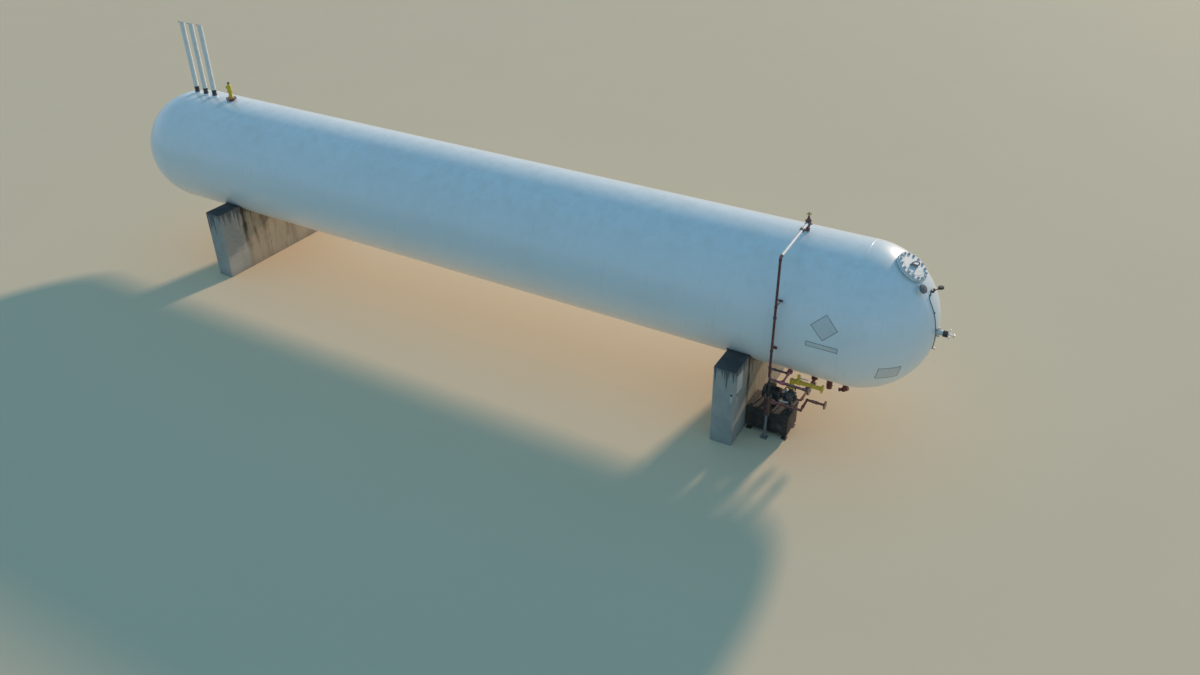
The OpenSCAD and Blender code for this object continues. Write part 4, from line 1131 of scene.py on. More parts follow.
class PRESSURE_TANK_OT_vents(bpy.types.Operator):
    """Adds the three relief valves, their pipes and the hinged rain caps"""

    bl_idname = "pressure_tank.vents"
    bl_label = "Vent pipes"

    def execute(self, context):
        pipes = Form()
        valves = Form()
        caps = Form()
        z1 = CROWN_Z + 0.035
        z2 = z1 + 0.14
        z3 = CROWN_Z + 1.775
        for x in STACK_X:
            up = spot(x, 0, 0)
            # relief valve
            valves.solid([(0.057, z1), (0.059, z1 + 0.002), (0.059, z1 + 0.032), (0.056, z1 + 0.036),
                          (0.051, z1 + 0.042), (0.051, z1 + 0.098), (0.054, z1 + 0.104),
                          (0.059, z1 + 0.108), (0.059, z2 - 0.003), (0.056, z2)], up, 40)
            valves.nut(0.102, 0.026, up, z1 + 0.058)
            # pipe, closed near its foot, with a band round it
            pipes.lathe([(0.057, z2 - 0.001), (0.057, z3 - 0.001), (0.056, z3), (0.052, z3),
                         (0.051, z3 - 0.001), (0.051, z2 + 0.06), (0.001, z2 + 0.06),
                         (0.001, z2 - 0.001)], up, 40)
            pipes.lathe([(0.0571, z2 + 0.07), (0.06, z2 + 0.074), (0.06, z2 + 0.078),
                         (0.0571, z2 + 0.082)], up, 40)
            # lid with its strap, nut and weight, and the bracket, ears and pin of its hinge
            lid = spot(x, 0, z3)
            caps.lathe([(0, 0.0005), (0.046, 0.0005), (0.046, -0.004), (0.05, -0.004), (0.05, 0.0005),
                        (0.064, 0.0005), (0.065, 0.0015), (0.065, 0.005), (0.064, 0.0062), (0.03, 0.0078),
                        (0, 0.008)], lid, 56)
            caps.block((0.112, 0.02, 0.006), moved(lid, x=-0.068, z=0.01), 0.0012)
            caps.block((0.03, 0.03, 0.004), moved(lid, z=0.0095), 0.001)
            caps.nut(0.014, 0.006, lid, 0.0115)
            caps.solid([(0.0125, -0.012), (0.014, -0.01), (0.014, 0.0105), (0.0125, 0.013)],
                       moved(lid, x=-0.12), 24)
            caps.block((0.005, 0.036, 0.034), moved(lid, x=-0.06, z=-0.017), 0.001)
            for side in (-1, 1):
                caps.block((0.016, 0.004, 0.02), moved(lid, -0.068, side * 0.015, -0.002), 0.001)
            caps.pipe([(x - 0.07, -0.021, z3 + 0.003), (x - 0.07, 0.021, z3 + 0.003)], 0.0035, steps=12)
        valves.stand_for("relief_valves", "relief_valve_bodies", "black paint")
        pipes.stand_for("vent_stacks", "vent_pipes", "vent pipe paint")
        caps.stand_for("rain_caps", "hinged_rain_caps", "cap metal")
        # pads on the crown
        necks = Form()
        for x in STACK_X:
            low = -0.02 if x - FAR_X > 0.1 else -0.022
            necks.solid([(0.072, CROWN_Z + low), (0.072, CROWN_Z + 0.031), (0.068, CROWN_Z + 0.035)],
                        spot(x, 0, 0), 48)
            necks.lathe([(0.071, CROWN_Z - 0.002), (0.08, CROWN_Z - 0.002), (0.077, CROWN_Z + 0.006),
                         (0.071, CROWN_Z + 0.011)], spot(x, 0, 0), 48)
        necks.stand_for("vent_nozzles", "vent_pads", "tank paint")
        return {"FINISHED"}


class PRESSURE_TANK_OT_fill_valve(bpy.types.Operator):
    """Adds the yellow filling valve on its dark red flange"""

    bl_idname = "pressure_tank.fill_valve"
    bl_label = "Fill valve"

    def execute(self, context):
        at = spot(FILL_X, 0, CROWN_Z)
        flange = Form()
        flange.solid([(0.075, -0.012), (0.075, 0.02), (0.08, 0.034), (0.122, 0.035), (0.125, 0.038),
                      (0.125, 0.058), (0.121, 0.06)], at, 64)
        flange.stand_for("fill_flange", "fill_round_flange", "dark red paint")
        body = Form()
        body.lathe([(0, 0.06), (0.05, 0.06), (0.052, 0.063), (0.052, 0.086), (0.048, 0.09), (0.04, 0.094),
                    (0.039, 0.168), (0.05, 0.186), (0.057, 0.194), (0.058, 0.256), (0.055, 0.268),
                    (0.052, 0.28), (0.05, 0.36), (0.044, 0.38), (0.036, 0.396), (0.03, 0.402),
                    (0.03, 0.424), (0, 0.43)], at, 48)
        body.nut(0.088, 0.034, at, 0.116)
        body.nut(0.098, 0.028, at, 0.346)
        for k in range(4):
            rib = spun(at, math.pi * k / 2 + 0.5)
            body.block((0.014, 0.022, 0.056), moved(rib, x=0.052, z=0.225), 0.003)
        # capped side outlet
        side = facing(at @ Vector((0, 0, 0.318)), -AHEAD)
        body.lathe([(0, 0.03), (0.03, 0.03), (0.039, 0.04), (0.04, 0.048), (0.04, 0.08), (0.036, 0.086),
                    (0.022, 0.088), (0.021, 0.1), (0, 0.102)], side, 32)
        body.nut(0.06, 0.012, side, 0.056)
        body.stand_for("fill_valve", "fill_valve_body", "yellow paint")
        cap = Form()
        cap.solid([(0.03, 0.428), (0.03, 0.446), (0.026, 0.454), (0.012, 0.46)], at, 32)
        cap.stand_for("fill_cap", "fill_valve_cap", "black paint")
        nuts = Form()
        nuts.add(grow(stud_ring(), Count=8, Ring_radius=0.108, Nut_radius=0.0145, Nut_height=0.015,
                      Stud_radius=0.0075, Stud_length=0.024, Seed=2, Material=finish("nut zinc")),
                 moved(at, z=0.06))
        nuts.piece("fill_flange_nuts", "nut zinc", "cap_grey")
        return {"FINISHED"}


class PRESSURE_TANK_OT_vapour_line(bpy.types.Operator):
    """Adds the maroon valve with its handwheel, the white arm and the joints of the drop pipe"""

    bl_idname = "pressure_tank.vapour_line"
    bl_label = "Vapour line"

    def execute(self, context):
        at = spot(VAPOUR_X, 0, CROWN_Z)
        pad = Form()
        pad.solid([(0.052, -0.016), (0.052, 0.005), (0.047, 0.01)], at, 40)
        pad.lathe([(0.05, -0.004), (0.06, -0.003), (0.057, 0.003), (0.051, 0.007)], at, 40)
        pad.stand_for("vapour_nozzle", "vapour_pad", "white fitting paint")
        body = Form()
        body.solid([(0.041, 0.01), (0.043, 0.013), (0.043, 0.026), (0.036, 0.034), (0.034, 0.072),
                    (0.037, 0.096), (0.046, 0.112), (0.049, 0.13), (0.049, 0.178), (0.045, 0.192),
                    (0.045, 0.197), (0.057, 0.198), (0.059, 0.201), (0.059, 0.214), (0.057, 0.217),
                    (0.04, 0.219), (0.032, 0.246), (0.024, 0.268), (0.021, 0.292), (0.019, 0.298),
                    (0.012, 0.3), (0.011, 0.336)], at, 40)
        body.nut(0.08, 0.03, at, 0.04)
        # outlet to the arm, and a small plug
        out = facing(at @ Vector((0, 0, VAPOUR_LINE - CROWN_Z)), ARM_WAY)
        body.solid([(0.036, 0.0), (0.036, 0.05), (0.04, 0.054)], out, 32)
        body.nut(0.08, 0.028, out, 0.052)
        side = facing(at @ Vector((0, 0, 0.148)), (1, 0.35, 0))
        body.rod(0.014, 0.03, 0.062, side, 20)
        body.nut(0.026, 0.012, side, 0.062)
        body.studs(moved(at, z=0.217), 6, 0.049, 0.014, 0.008, 0.0045, 4)
        body.stand_for("vapour_valve", "vapour_valve_body", "maroon paint")
        # handwheel with five dished spokes
        wheel = Form()
        hub = moved(at, z=0.349)
        wheel.bend_ring(hub, 0.044, 0.0075, 56, 14)
        wheel.solid([(0.017, -0.014), (0.018, -0.012), (0.018, 0.008), (0.015, 0.012)], hub, 24)
        for k in range(5):
            a = math.tau * k / 5 + 0.3
            way = Vector((math.cos(a), math.sin(a), 0))
            spoke = (way * 0.01 + Vector((0, 0, -0.006)), way * 0.026 + Vector((0, 0, -0.008)), way * 0.043)
            wheel.pipe([hub @ p for p in spoke], 0.0045, 0.02, 10)
        wheel.stand_for("vapour_wheel", "vapour_handwheel", "pale yellow paint", angle=40)
        tip = Form()
        tip.nut(0.022, 0.011, hub, 0.0115)
        tip.solid([(0.0055, 0.01), (0.0055, 0.028), (0.004, 0.03)], hub, 14)
        tip.piece("handwheel_nut", "nut zinc", "cap_grey", angle=30)
        # coupling in the arm
        start = at @ Vector((0, 0, VAPOUR_LINE - CROWN_Z))
        joint = facing(start + ARM_WAY * 0.3, ARM_WAY)
        union = Form()
        union.solid([(0.04, 0), (0.044, 0.004), (0.044, 0.018), (0.041, 0.022), (0.041, 0.064),
                     (0.044, 0.068), (0.044, 0.082), (0.04, 0.086)], joint, 36)
        union.solid([(0.046, 0.021), (0.0505, 0.026), (0.0505, 0.06), (0.046, 0.065)], joint, 8)
        union.stand_for("vapour_coupling", "vapour_union", "black paint")
        arm = Form()
        arm.pipe([start + ARM_WAY * 0.078, start + ARM_WAY * 0.301], ARM_R, steps=32)
        arm.pipe([start + ARM_WAY * 0.385, start + ARM_WAY * (ARM_LONG - 0.066)], ARM_R, steps=32)
        for d in (0.092, 0.286, 0.388):
            arm.lathe([(0.028, 0), (0.0325, 0.001), (0.0325, 0.008), (0.028, 0.009)],
                      facing(start + ARM_WAY * d, ARM_WAY), 32)
        arm.stand_for("vapour_arm", "vapour_arm_pipe", "white fitting paint")
        # joints of the drop pipe, and its brackets on the shell
        dress("maroon paint", "drop_pipe")
        more = Form()
        x, y = DROP_X, DROP_Y
        for z in (2.905, 1.842):
            more.collar(0.0305, 0.0, 0.058, spot(x, y, z))
            more.nut(0.063, 0.02, spot(x, y, z + 0.019))
        for d in (0.096, 0.33, 0.64):
            more.collar(0.03, 0.0, 0.045, facing((x + d, y, DROP_Z), AHEAD))
        more.solid([(0.034, 0), (0.042, 0.012), (0.042, 0.04)], facing((x + 0.71, y, DROP_Z), AHEAD), 40)
        more.piece("drop_pipe_joints", "maroon paint", "maroon", angle=30)
        clips = Form()
        for z in (3.15, 2.24):
            ring = spot(x, y, z)
            clips.lathe([(0.0235, -0.02), (0.0295, -0.02), (0.0295, 0.02), (0.0235, 0.02)], ring, 32)
            reach = -math.sqrt(RAD ** 2 - (z - AXIS_Z) ** 2)
            clips.block((0.008, abs(reach - y) - 0.022, 0.04), spot(x, (reach + y) / 2 + 0.014, z), 0.0015)
            lean = math.asin((z - AXIS_Z) / RAD)
            clips.block((0.09, 0.01, 0.09), spun(spot(x, reach - 0.001, z), lean, "X"), 0.002)
        clips.piece("drop_pipe_brackets", "maroon paint", "maroon", angle=30)
        return {"FINISHED"}


class PRESSURE_TANK_OT_cross_pipe(bpy.types.Operator):
    """Adds the branch from the vapour line to the strainer pot"""

    bl_idname = "pressure_tank.cross_pipe"
    bl_label = "Cross pipe"

    def execute(self, context):
        form = Form()
        x, z = DROP_X + 0.255, DROP_Z
        y1 = -math.sqrt((RAD + 0.058) ** 2 - (AXIS_Z - DROP_Z) ** 2)
        form.lathe([(0, 0.016), (0.035, 0.02), (0.035, 0.052), (0.029, 0.06), (0, 0.06)],
                   facing((x, DROP_Y, z), BACK), 32)
        form.solid([(0.032, -0.05), (0.034, -0.047), (0.034, 0.047), (0.032, 0.05)],
                   facing((x, DROP_Y, z), AHEAD), 32)
        form.pipe([(x, DROP_Y + 0.03, z), (x, y1 - 0.01, z)], 0.02, steps=28)
        form.disc(0.052, 0.0, 0.016, facing((x, y1 - 0.036, z), BACK))
        form.disc(0.052, 0.0, 0.016, facing((x, y1 - 0.016, z), BACK))
        for place in (facing((x, POST_Y, z), BACK), facing((x, POST_Y, z), FRONT)):
            form.collar(0.028, 0.0, 0.046, place)
        form.stand_for("cross_pipe", "cross_pipe_branch", "cross pipe paint")
        # black branch down to the pot
        branch = Form()
        branch.pipe([(x - 0.01, POST_Y, z), (POST_X, POST_Y, z), (POST_X, POST_Y, 0.999)], 0.02, 0.055, 28)
        branch.collar(0.027, 0.018, 0.056, facing((x, POST_Y, z), -AHEAD))
        branch.collar(0.027, 0.0, 0.034, facing((POST_X + 0.06, POST_Y, z), AHEAD))
        branch.collar(0.027, 0.0, 0.034, spot(POST_X, POST_Y, z - 0.096))
        branch.collar(0.031, 0.0, 0.066, spot(POST_X, POST_Y, 1.25))
        branch.nut(0.066, 0.024, spot(POST_X, POST_Y, 1.271))
        branch.piece("pot_branch_pipe", "black paint", "black_metal", angle=30)
        nuts = Form()
        nuts.studs(facing((x, y1 - 0.0365, z), FRONT), 6, 0.041, 0.013, 0.01, 0.004, 3)
        nuts.piece("cross_pipe_nuts", "nut zinc", "cap_grey")
        return {"FINISHED"}


class PRESSURE_TANK_OT_head_fittings(bpy.types.Operator):
    """Adds the capped nozzle, the pressure gauge on its block, the thin tube and the level gauge"""

    bl_idname = "pressure_tank.head_fittings"
    bl_label = "Head fittings"

    def execute(self, context):
        # capped nozzle
        at = on_head(41, -17.7)
        nozzle = Form()
        nozzle.solid([(0.065, -0.01), (0.065, 0.06), (0.06, 0.068)], at, 48)
        nozzle.lathe([(0.064, -0.006), (0.077, -0.005), (0.072, 0.004), (0.065, 0.011)], at, 48)
        nozzle.stand_for("head_nozzle", "side_nozzle_neck", "white fitting paint")
        cap = Form()
        cap.solid([(0.077, 0.068), (0.08, 0.072), (0.08, 0.102), (0.076, 0.108), (0.07, 0.11),
                   (0.04, 0.11)], at, 48)
        cap.nut(0.066, 0.011, at, 0.109)
        for k in range(6):
            rib = spun(at, math.tau * k / 6 + 0.4)
            cap.block((0.016, 0.02, 0.03), moved(rib, x=0.0775, z=0.087), 0.003)
        cap.stand_for("head_nozzle_cap", "side_nozzle_cap", "grey cap paint")
        # pressure gauge on its block
        at = on_head(34)
        block = Form()
        block.rod(0.022, -0.006, 0.026, at, 28)
        block.nut(0.05, 0.014, at, 0.006)
        block.block((0.04, 0.116, 0.034), moved(at, z=0.041), 0.004)
        for s in (-1, 1):
            block.nut(0.026, 0.01, spun(moved(at, y=s * 0.056, z=0.041), -s * math.pi / 2, "X"))
        block.stand_for("gauge_block", "gauge_block_body", "black paint")
        gauge = Form()
        face = spun(moved(at, x=-0.014, z=0.186), math.radians(112), "Y")
        gauge.rod(0.009, 0.058, 0.15, at, 18)
        gauge.nut(0.024, 0.014, at, 0.066)
        gauge.nut(0.02, 0.012, at, 0.122)
        gauge.solid([(0.042, -0.02), (0.05, -0.017), (0.053, -0.012), (0.053, 0.011), (0.055, 0.013),
                     (0.055, 0.018), (0.053, 0.02), (0.05, 0.02), (0.0485, 0.017), (0.0485, 0.012)],
                    face, 56)
        gauge.stand_for("pressure_gauge", "pressure_gauge_case", "gauge case paint")
        dial = Form()
        dial.rod(0.048, 0.0118, 0.0135, face, 48)
        dial.piece("gauge_dial", "blank plate paint", "plate", angle=30)
        # scale with longer marks at each fourth one, pointer and hub
        marks = Form()
        for k in range(25):
            a = math.radians(-225 + 270 * k / 24)
            long = 0.008 if k % 4 == 0 else 0.0045
            wide = 0.0018 if k % 4 == 0 else 0.0011
            marks.block((long, wide, 0.0006), moved(spun(face, a), x=0.041 - long / 2, z=0.0137), 0.0001)
        marks.block((0.044, 0.0022, 0.001), moved(spun(face, math.radians(-110)), x=0.012, z=0.015), 0.0003)
        marks.rod(0.0045, 0.0134, 0.0165, face, 18)
        marks.piece("gauge_marks", "black paint", "black_metal", angle=30)
        # thin tube with three clips, and the fitting below it
        tube = Form()
        path = [TUBE_START, *TUBE_PATH, *TUBE_END]
        tube.pipe([onto_head(p, 0.0063) for p in path], 0.006, 0.05, 14)
        for p in (TUBE_PATH[2], TUBE_PATH[6], TUBE_PATH[9]):
            tube.block((0.03, 0.036, 0.004), clip_on_head(p), 0.001)
        tube.stand_for("gauge_tube", "thin_gauge_tube", "tube metal", angle=50)
        at = on_head(-14.5)
        plug = Form()
        plug.solid([(0.023, -0.008), (0.023, 0.02), (0.019, 0.024), (0.019, 0.046), (0.014, 0.06)], at, 28)
        plug.nut(0.05, 0.016, at, 0.004)
        plug.nut(0.036, 0.012, at, 0.03)
        plug.stand_for("tube_fitting", "tube_end_fitting", "fitting metal")
        # level gauge: flanged neck, grooved ring and the cross on its shaft
        at = on_head(0)
        neck = Form()
        neck.solid([(0.048, -0.012), (0.048, 0.006), (0.092, 0.006), (0.095, 0.009), (0.095, 0.025),
                    (0.092, 0.028), (0.056, 0.028), (0.05, 0.036), (0.048, 0.046), (0.048, 0.092),
                    (0.044, 0.096)], at, 56)
        neck.stand_for("level_neck", "level_gauge_neck", "white fitting paint")
        nuts = Form()
        nuts.studs(moved(at, z=0.028), 6, 0.075, 0.018, 0.012, 0.0055, 7, 0.4)
        nuts.piece("level_gauge_nuts", "nut zinc", "cap_grey")
        ring = Form()
        ring.solid([(0.058, 0.096), (0.061, 0.099), (0.061, 0.118), (0.057, 0.121), (0.057, 0.128),
                    (0.061, 0.131), (0.061, 0.158), (0.057, 0.161), (0.057, 0.168), (0.06, 0.171),
                    (0.06, 0.179), (0.057, 0.182)], at, 56)
        ring.stand_for("level_ring", "level_gauge_ring", "black paint")
        dial = Form()
        dial.solid([(0.043, 0.182), (0.045, 0.184), (0.045, 0.194), (0.042, 0.196), (0.014, 0.196),
                    (0.014, 0.274)], at, 40)
        dial.nut(0.04, 0.014, at, 0.196)
        for k in range(4):
            arm = spun(at, math.pi * k / 2)
            dial.block((0.106, 0.016, 0.01), moved(arm, x=0.06, z=0.21), 0.0015)
            dial.block((0.008, 0.026, 0.018), moved(arm, x=0.11, z=0.21), 0.0015)
        dial.block((0.062, 0.062, 0.012), moved(at, z=0.279), 0.002)
        dial.lathe([(0, 0.284), (0.018, 0.284), (0.016, 0.29), (0, 0.292)], at, 24)
        dial.stand_for("level_dial", "level_gauge_cross", "dial metal")
        return {"FINISHED"}


class PRESSURE_TANK_OT_outlets(bpy.types.Operator):
    """Adds the three dark red bottom outlets"""

    bl_idname = "pressure_tank.outlets"
    bl_label = "Bottom outlets"

    def execute(self, context):
        z = OUTLET_Z
        form = Form()
        one, two, three = (spot(x, 0, z) for x in OUTLET_X)
        form.solid([(0.054, 0), (0.057, 0.003), (0.057, 0.022), (0.054, 0.025), (0.034, 0.03),
                    (0.03, 0.06), (0.032, 0.078), (0.052, 0.104), (0.057, 0.114), (0.057, 0.176),
                    (0.046, 0.184), (0.046, 0.296), (0.08, 0.298), (0.082, 0.301), (0.082, 0.356),
                    (0.08, 0.359), (0.046, 0.362), (0.044, 0.4), (0.044, 0.49)], one, 40)
        # stem of the first outlet's valve
        stem = facing(one @ Vector((0.0, 0, 0.145)), (0.8, -0.6, 0.25))
        form.solid([(0.022, 0.02), (0.022, 0.085), (0.014, 0.09), (0.01, 0.12)], stem, 20)
        # second outlet
        form.solid([(0.052, 0), (0.057, 0.006), (0.057, 0.17), (0.052, 0.176), (0.052, 0.188),
                    (0.074, 0.19), (0.077, 0.193), (0.077, 0.212), (0.074, 0.215), (0.062, 0.22),
                    (0.062, 0.372), (0.074, 0.376), (0.077, 0.379), (0.077, 0.397), (0.074, 0.4),
                    (0.044, 0.404), (0.044, 0.49)], two, 44)
        form.nut(0.118, 0.03, two, 0.06)
        # third outlet, with a slanting tail and a small spout
        form.solid([(0.05, 0.1), (0.055, 0.11), (0.055, 0.18), (0.048, 0.188), (0.062, 0.19),
                    (0.065, 0.193), (0.065, 0.397), (0.062, 0.4), (0.044, 0.404), (0.044, 0.49)], three, 40)
        tail = facing(three @ Vector((0.05, 0, 0.126)), (-0.8, 0, -0.6))
        form.solid([(0.044, 0), (0.05, 0.008), (0.05, 0.12), (0.044, 0.13), (0.04, 0.134)], tail, 36)
        spout = facing(three @ Vector((-0.01, 0, 0.07)), (-0.9, -0.1, -0.25))
        form.solid([(0.03, 0.04), (0.03, 0.088), (0.038, 0.092), (0.038, 0.112), (0.034, 0.116)], spout, 28)
        form.stand_for("bottom_outlets", "bottom_outlet_bodies", "deep red paint")
        nuts = Form()
        nuts.studs(spun(moved(one, z=0.298), math.pi, "X"), 8, 0.067, 0.018, 0.014, 0.0055, 5)
        nuts.studs(moved(two, z=0.215), 6, 0.0685, 0.011, 0.008, 0.0035, 6)
        nuts.piece("outlet_nuts", "nut zinc", "cap_grey")
        return {"FINISHED"}


class PRESSURE_TANK_OT_suction(bpy.types.Operator):
    """Adds the liquid pipe from the first outlet to the pump, with its flange pair"""

    bl_idname = "pressure_tank.suction"
    bl_label = "Suction pipe"

    def execute(self, context):
        x, y, z = OUTLET_X[0], YELLOW_Y, PUMP_Z
        form = Form()
        form.pipe([(x, -0.02, z), (x, y, z), (PUMP_X + 0.112, y, z)], LINE_R, 0.06, 28)
        # flange pair part of the way along, and sleeves at the ends
        mid = y * 0.45
        for d in (0.0, 0.022):
            form.disc(0.065, 0.0, 0.02, facing((x, mid - d, z), FRONT))
        form.collar(0.034, 0.0, 0.032, facing((x, mid + 0.03, z), FRONT))
        form.collar(0.046, 0.0, 0.034, facing((x, mid - 0.042, z), FRONT))
        form.collar(0.031, 0.0, 0.04, facing((x, y + 0.064, z), BACK))
        form.collar(0.031, 0.0, 0.05, facing((x, -0.07, z), FRONT))
        form.stand_for("suction_pipe", "suction_line", "dark red paint")
        nuts = Form()
        nuts.studs(facing((x, mid, z), BACK), 4, 0.053, 0.017, 0.012, 0.005, 2, SQUARE_TURN)
        nuts.studs(facing((x, mid - 0.042, z), FRONT), 4, 0.053, 0.017, 0.012, 0.005, 3, SQUARE_TURN)
        nuts.piece("suction_nuts", "nut zinc", "cap_grey")
        return {"FINISHED"}


class PRESSURE_TANK_OT_pump(bpy.types.Operator):
    """Adds the pump casing, the finned motor and the sheet steel frame under them"""

    bl_idname = "pressure_tank.pump"
    bl_label = "Pump"

    def execute(self, context):
        y, z = YELLOW_Y, PUMP_Z
        # casing with six ribs, a foot and the outlet flange on top
        case = Form()
        base = facing((PUMP_X - 0.07, y, z), AHEAD)
        case.solid([(0.052, -0.09), (0.065, -0.082), (0.06, -0.04), (0.072, -0.012), (0.11, 0.0),
                    (0.131, 0.006), (0.139, 0.022), (0.14, 0.07), (0.139, 0.118), (0.13, 0.134),
                    (0.112, 0.14), (0.085, 0.146), (0.058, 0.152), (0.054, 0.16), (0.075, 0.162),
                    (0.075, 0.178), (0.073, 0.18)], base, 64)
        for k in range(6):
            case.block((0.046, 0.01, 0.06), moved(spun(base, math.tau * k / 6), x=0.08, z=-0.034), 0.003)
        up = spot(PUMP_X, y, z)
        case.solid([(0.052, 0.1), (0.046, 0.128), (0.044, 0.146), (0.044, 0.228), (0.066, 0.23),
                    (0.068, 0.232), (0.068, 0.248), (0.066, 0.25)], up, 40)
        case.block((0.09, 0.15, 0.12), spot(PUMP_X, y, z - 0.18), 0.006)
        case.block((0.12, 0.2, 0.018), spot(PUMP_X, y, z - 0.232), 0.004)
        case.solid([(0.02, 0.0), (0.02, 0.03), (0.014, 0.034)], facing((PUMP_X, y - 0.137, z), FRONT), 20)
        case.stand_for("pump_body", "pump_casing", "pump enamel", angle=32)
        # motor with fins, the guard rings of its fan, a terminal box and feet
        motor = Form()
        back = facing((PUMP_X - 0.54, y, z), AHEAD)
        motor.solid([(0.104, 0.062), (0.104, 0.31), (0.126, 0.312), (0.128, 0.316), (0.128, 0.344),
                     (0.11, 0.35), (0.05, 0.352), (0.03, 0.356), (0.03, 0.38)], back, 48)
        motor.solid([(0.118, 0.0), (0.132, 0.008), (0.135, 0.02), (0.135, 0.066), (0.131, 0.07)], back, 56)
        fins = grow(fin_ring(), Count=sizes().motor_fins, Ring_radius=0.116, Fin_height=0.03,
                    Fin_width=0.0042, Fin_length=0.236, Material=finish("pump enamel"))
        motor.add(fins, moved(back, z=0.19))
        for k in range(5):
            motor.bend_ring(moved(back, z=-0.001), 0.026 + 0.019 * k, 0.0025, 40, 8)
        box = spot(PUMP_X - 0.38, y, z + 0.142)
        motor.block((0.14, 0.12, 0.08), box, 0.006)
        motor.block((0.148, 0.128, 0.01), moved(box, z=0.036), 0.003)
        motor.solid([(0.016, 0), (0.016, 0.026), (0.012, 0.03)],
                    facing(box @ Vector((0, -0.058, -0.004)), FRONT), 18)
        motor.block((0.24, 0.19, 0.024), spot(PUMP_X - 0.36, y, z - 0.228), 0.004)
        for dx in (-0.465, -0.255):
            motor.block((0.034, 0.16, 0.13), spot(PUMP_X + dx, y, z - 0.165), 0.005)
        motor.solid([(0.045, 0), (0.048, 0.004), (0.048, 0.03), (0.045, 0.034)],
                    facing((PUMP_X - 0.184, y, z), AHEAD), 36)
        motor.stand_for("pump_motor", "pump_motor_body", "motor enamel", angle=32)
        # frame with four feet, side panels and louvres
        frame_form = Form()
        x0, x1 = PUMP_X + 0.09 - 0.83, PUMP_X + 0.09
        y0, y1 = y - 0.3, y + 0.26
        mid = ((x0 + x1) / 2, (y0 + y1) / 2)
        top = PUMP_BASE_TOP
        frame_form.block((x1 - x0, y1 - y0, top - 0.13), spot(*mid, (top + 0.052) / 2), 0.004)
        frame_form.block((x1 - x0 + 0.024, y1 - y0 + 0.024, 0.04), spot(*mid, top - 0.02), 0.006)
        for sx in (x0 + 0.055, x1 - 0.055):
            for sy in (y0 + 0.055, y1 - 0.055):
                frame_form.block((0.06, 0.06, 0.11), spot(sx, sy, 0.062), 0.003)
                frame_form.block((0.11, 0.11, 0.012), spot(sx, sy, 0.006), 0.002)
        for s, yy in ((-1, y0), (1, y1)):
            for k in range(2):
                cx = x0 + (x1 - x0) * (0.27 + 0.46 * k)
                frame_form.block((0.35, 0.008, 0.31), spot(cx, yy + s * 0.003, 0.31), 0.003)
                for j in range(5):
                    slat = spot(cx, yy + s * 0.008, 0.215 + 0.024 * j)
                    frame_form.block((0.23, 0.012, 0.01), spun(slat, s * 0.5, "X"), 0.002)
                frame_form.rod(0.013, 0, 0.01, facing((cx + 0.145, yy + s * 0.006, 0.38), (0, s, 0)), 20)
        frame_form.stand_for("pump_base", "pump_frame_box", "frame paint", angle=32)
        # nuts round the casing, under its flange and on the feet
        bolts = Form()
        bolts.studs(facing((PUMP_X + 0.066, y, z), AHEAD), 12, 0.124, 0.017, 0.012, 0.005, 8)
        bolts.studs(spun(moved(up, z=0.23), math.pi, "X"), 4, 0.056, 0.014, 0.01, 0.0045, 4, SQUARE_TURN)
        for dx in (-0.455, -0.265):
            for dy in (-0.08, 0.08):
                bolts.nut(0.017, 0.012, spot(PUMP_X + dx, y + dy, top + 0.024))
        for dx in (-0.045, 0.045):
            for dy in (-0.088, 0.088):
                bolts.nut(0.017, 0.012, spot(PUMP_X + dx, y + dy, top + 0.017))
        bolts.piece("pump_bolts", "nut zinc", "cap_grey")
        # small gauge
        dial = Form()
        at = spot(PUMP_X - 0.108, y - 0.03, z + 0.05)
        dial.rod(0.007, 0, 0.072, at, 14)
        dial.nut(0.02, 0.012, at, 0.03)
        front = facing(at @ Vector((0, -0.006, 0.104)), (0.2, -0.85, 0.5))
        dial.solid([(0.034, -0.016), (0.038, -0.012), (0.038, 0.006), (0.04, 0.008), (0.04, 0.014),
                    (0.036, 0.014), (0.035, 0.009)], front, 40)
        dial.piece("pump_gauge_case", "gauge case paint", "black_metal")
        plate = Form()
        plate.rod(0.0345, 0.0088, 0.0105, front, 36)
        plate.piece("pump_gauge_dial", "dull dial paint", "plate")
        # conduits
        conduit = Form()
        start = box @ Vector((0, -0.086, -0.004))
        conduit.pipe([start, start + Vector((0, -0.06, 0)), start + Vector((-0.06, -0.12, -0.1)),
                      (x0 + 0.1, y0 + 0.05, top + 0.012), (x0 + 0.03, y0 + 0.05, top + 0.012)],
                     0.011, 0.05, 14)
        conduit.pipe([(PUMP_X - 0.15, y + 0.12, top + 0.02), (PUMP_X - 0.15, y + 0.12, z + 0.12),
                      (PUMP_X + 0.06, y + 0.12, z + 0.15), (PUMP_X + 0.06, y + 0.05, z + 0.15)],
                     0.012, 0.04, 14)
        conduit.piece("pump_conduits", "black paint", "black_metal", angle=50)
        return {"FINISHED"}


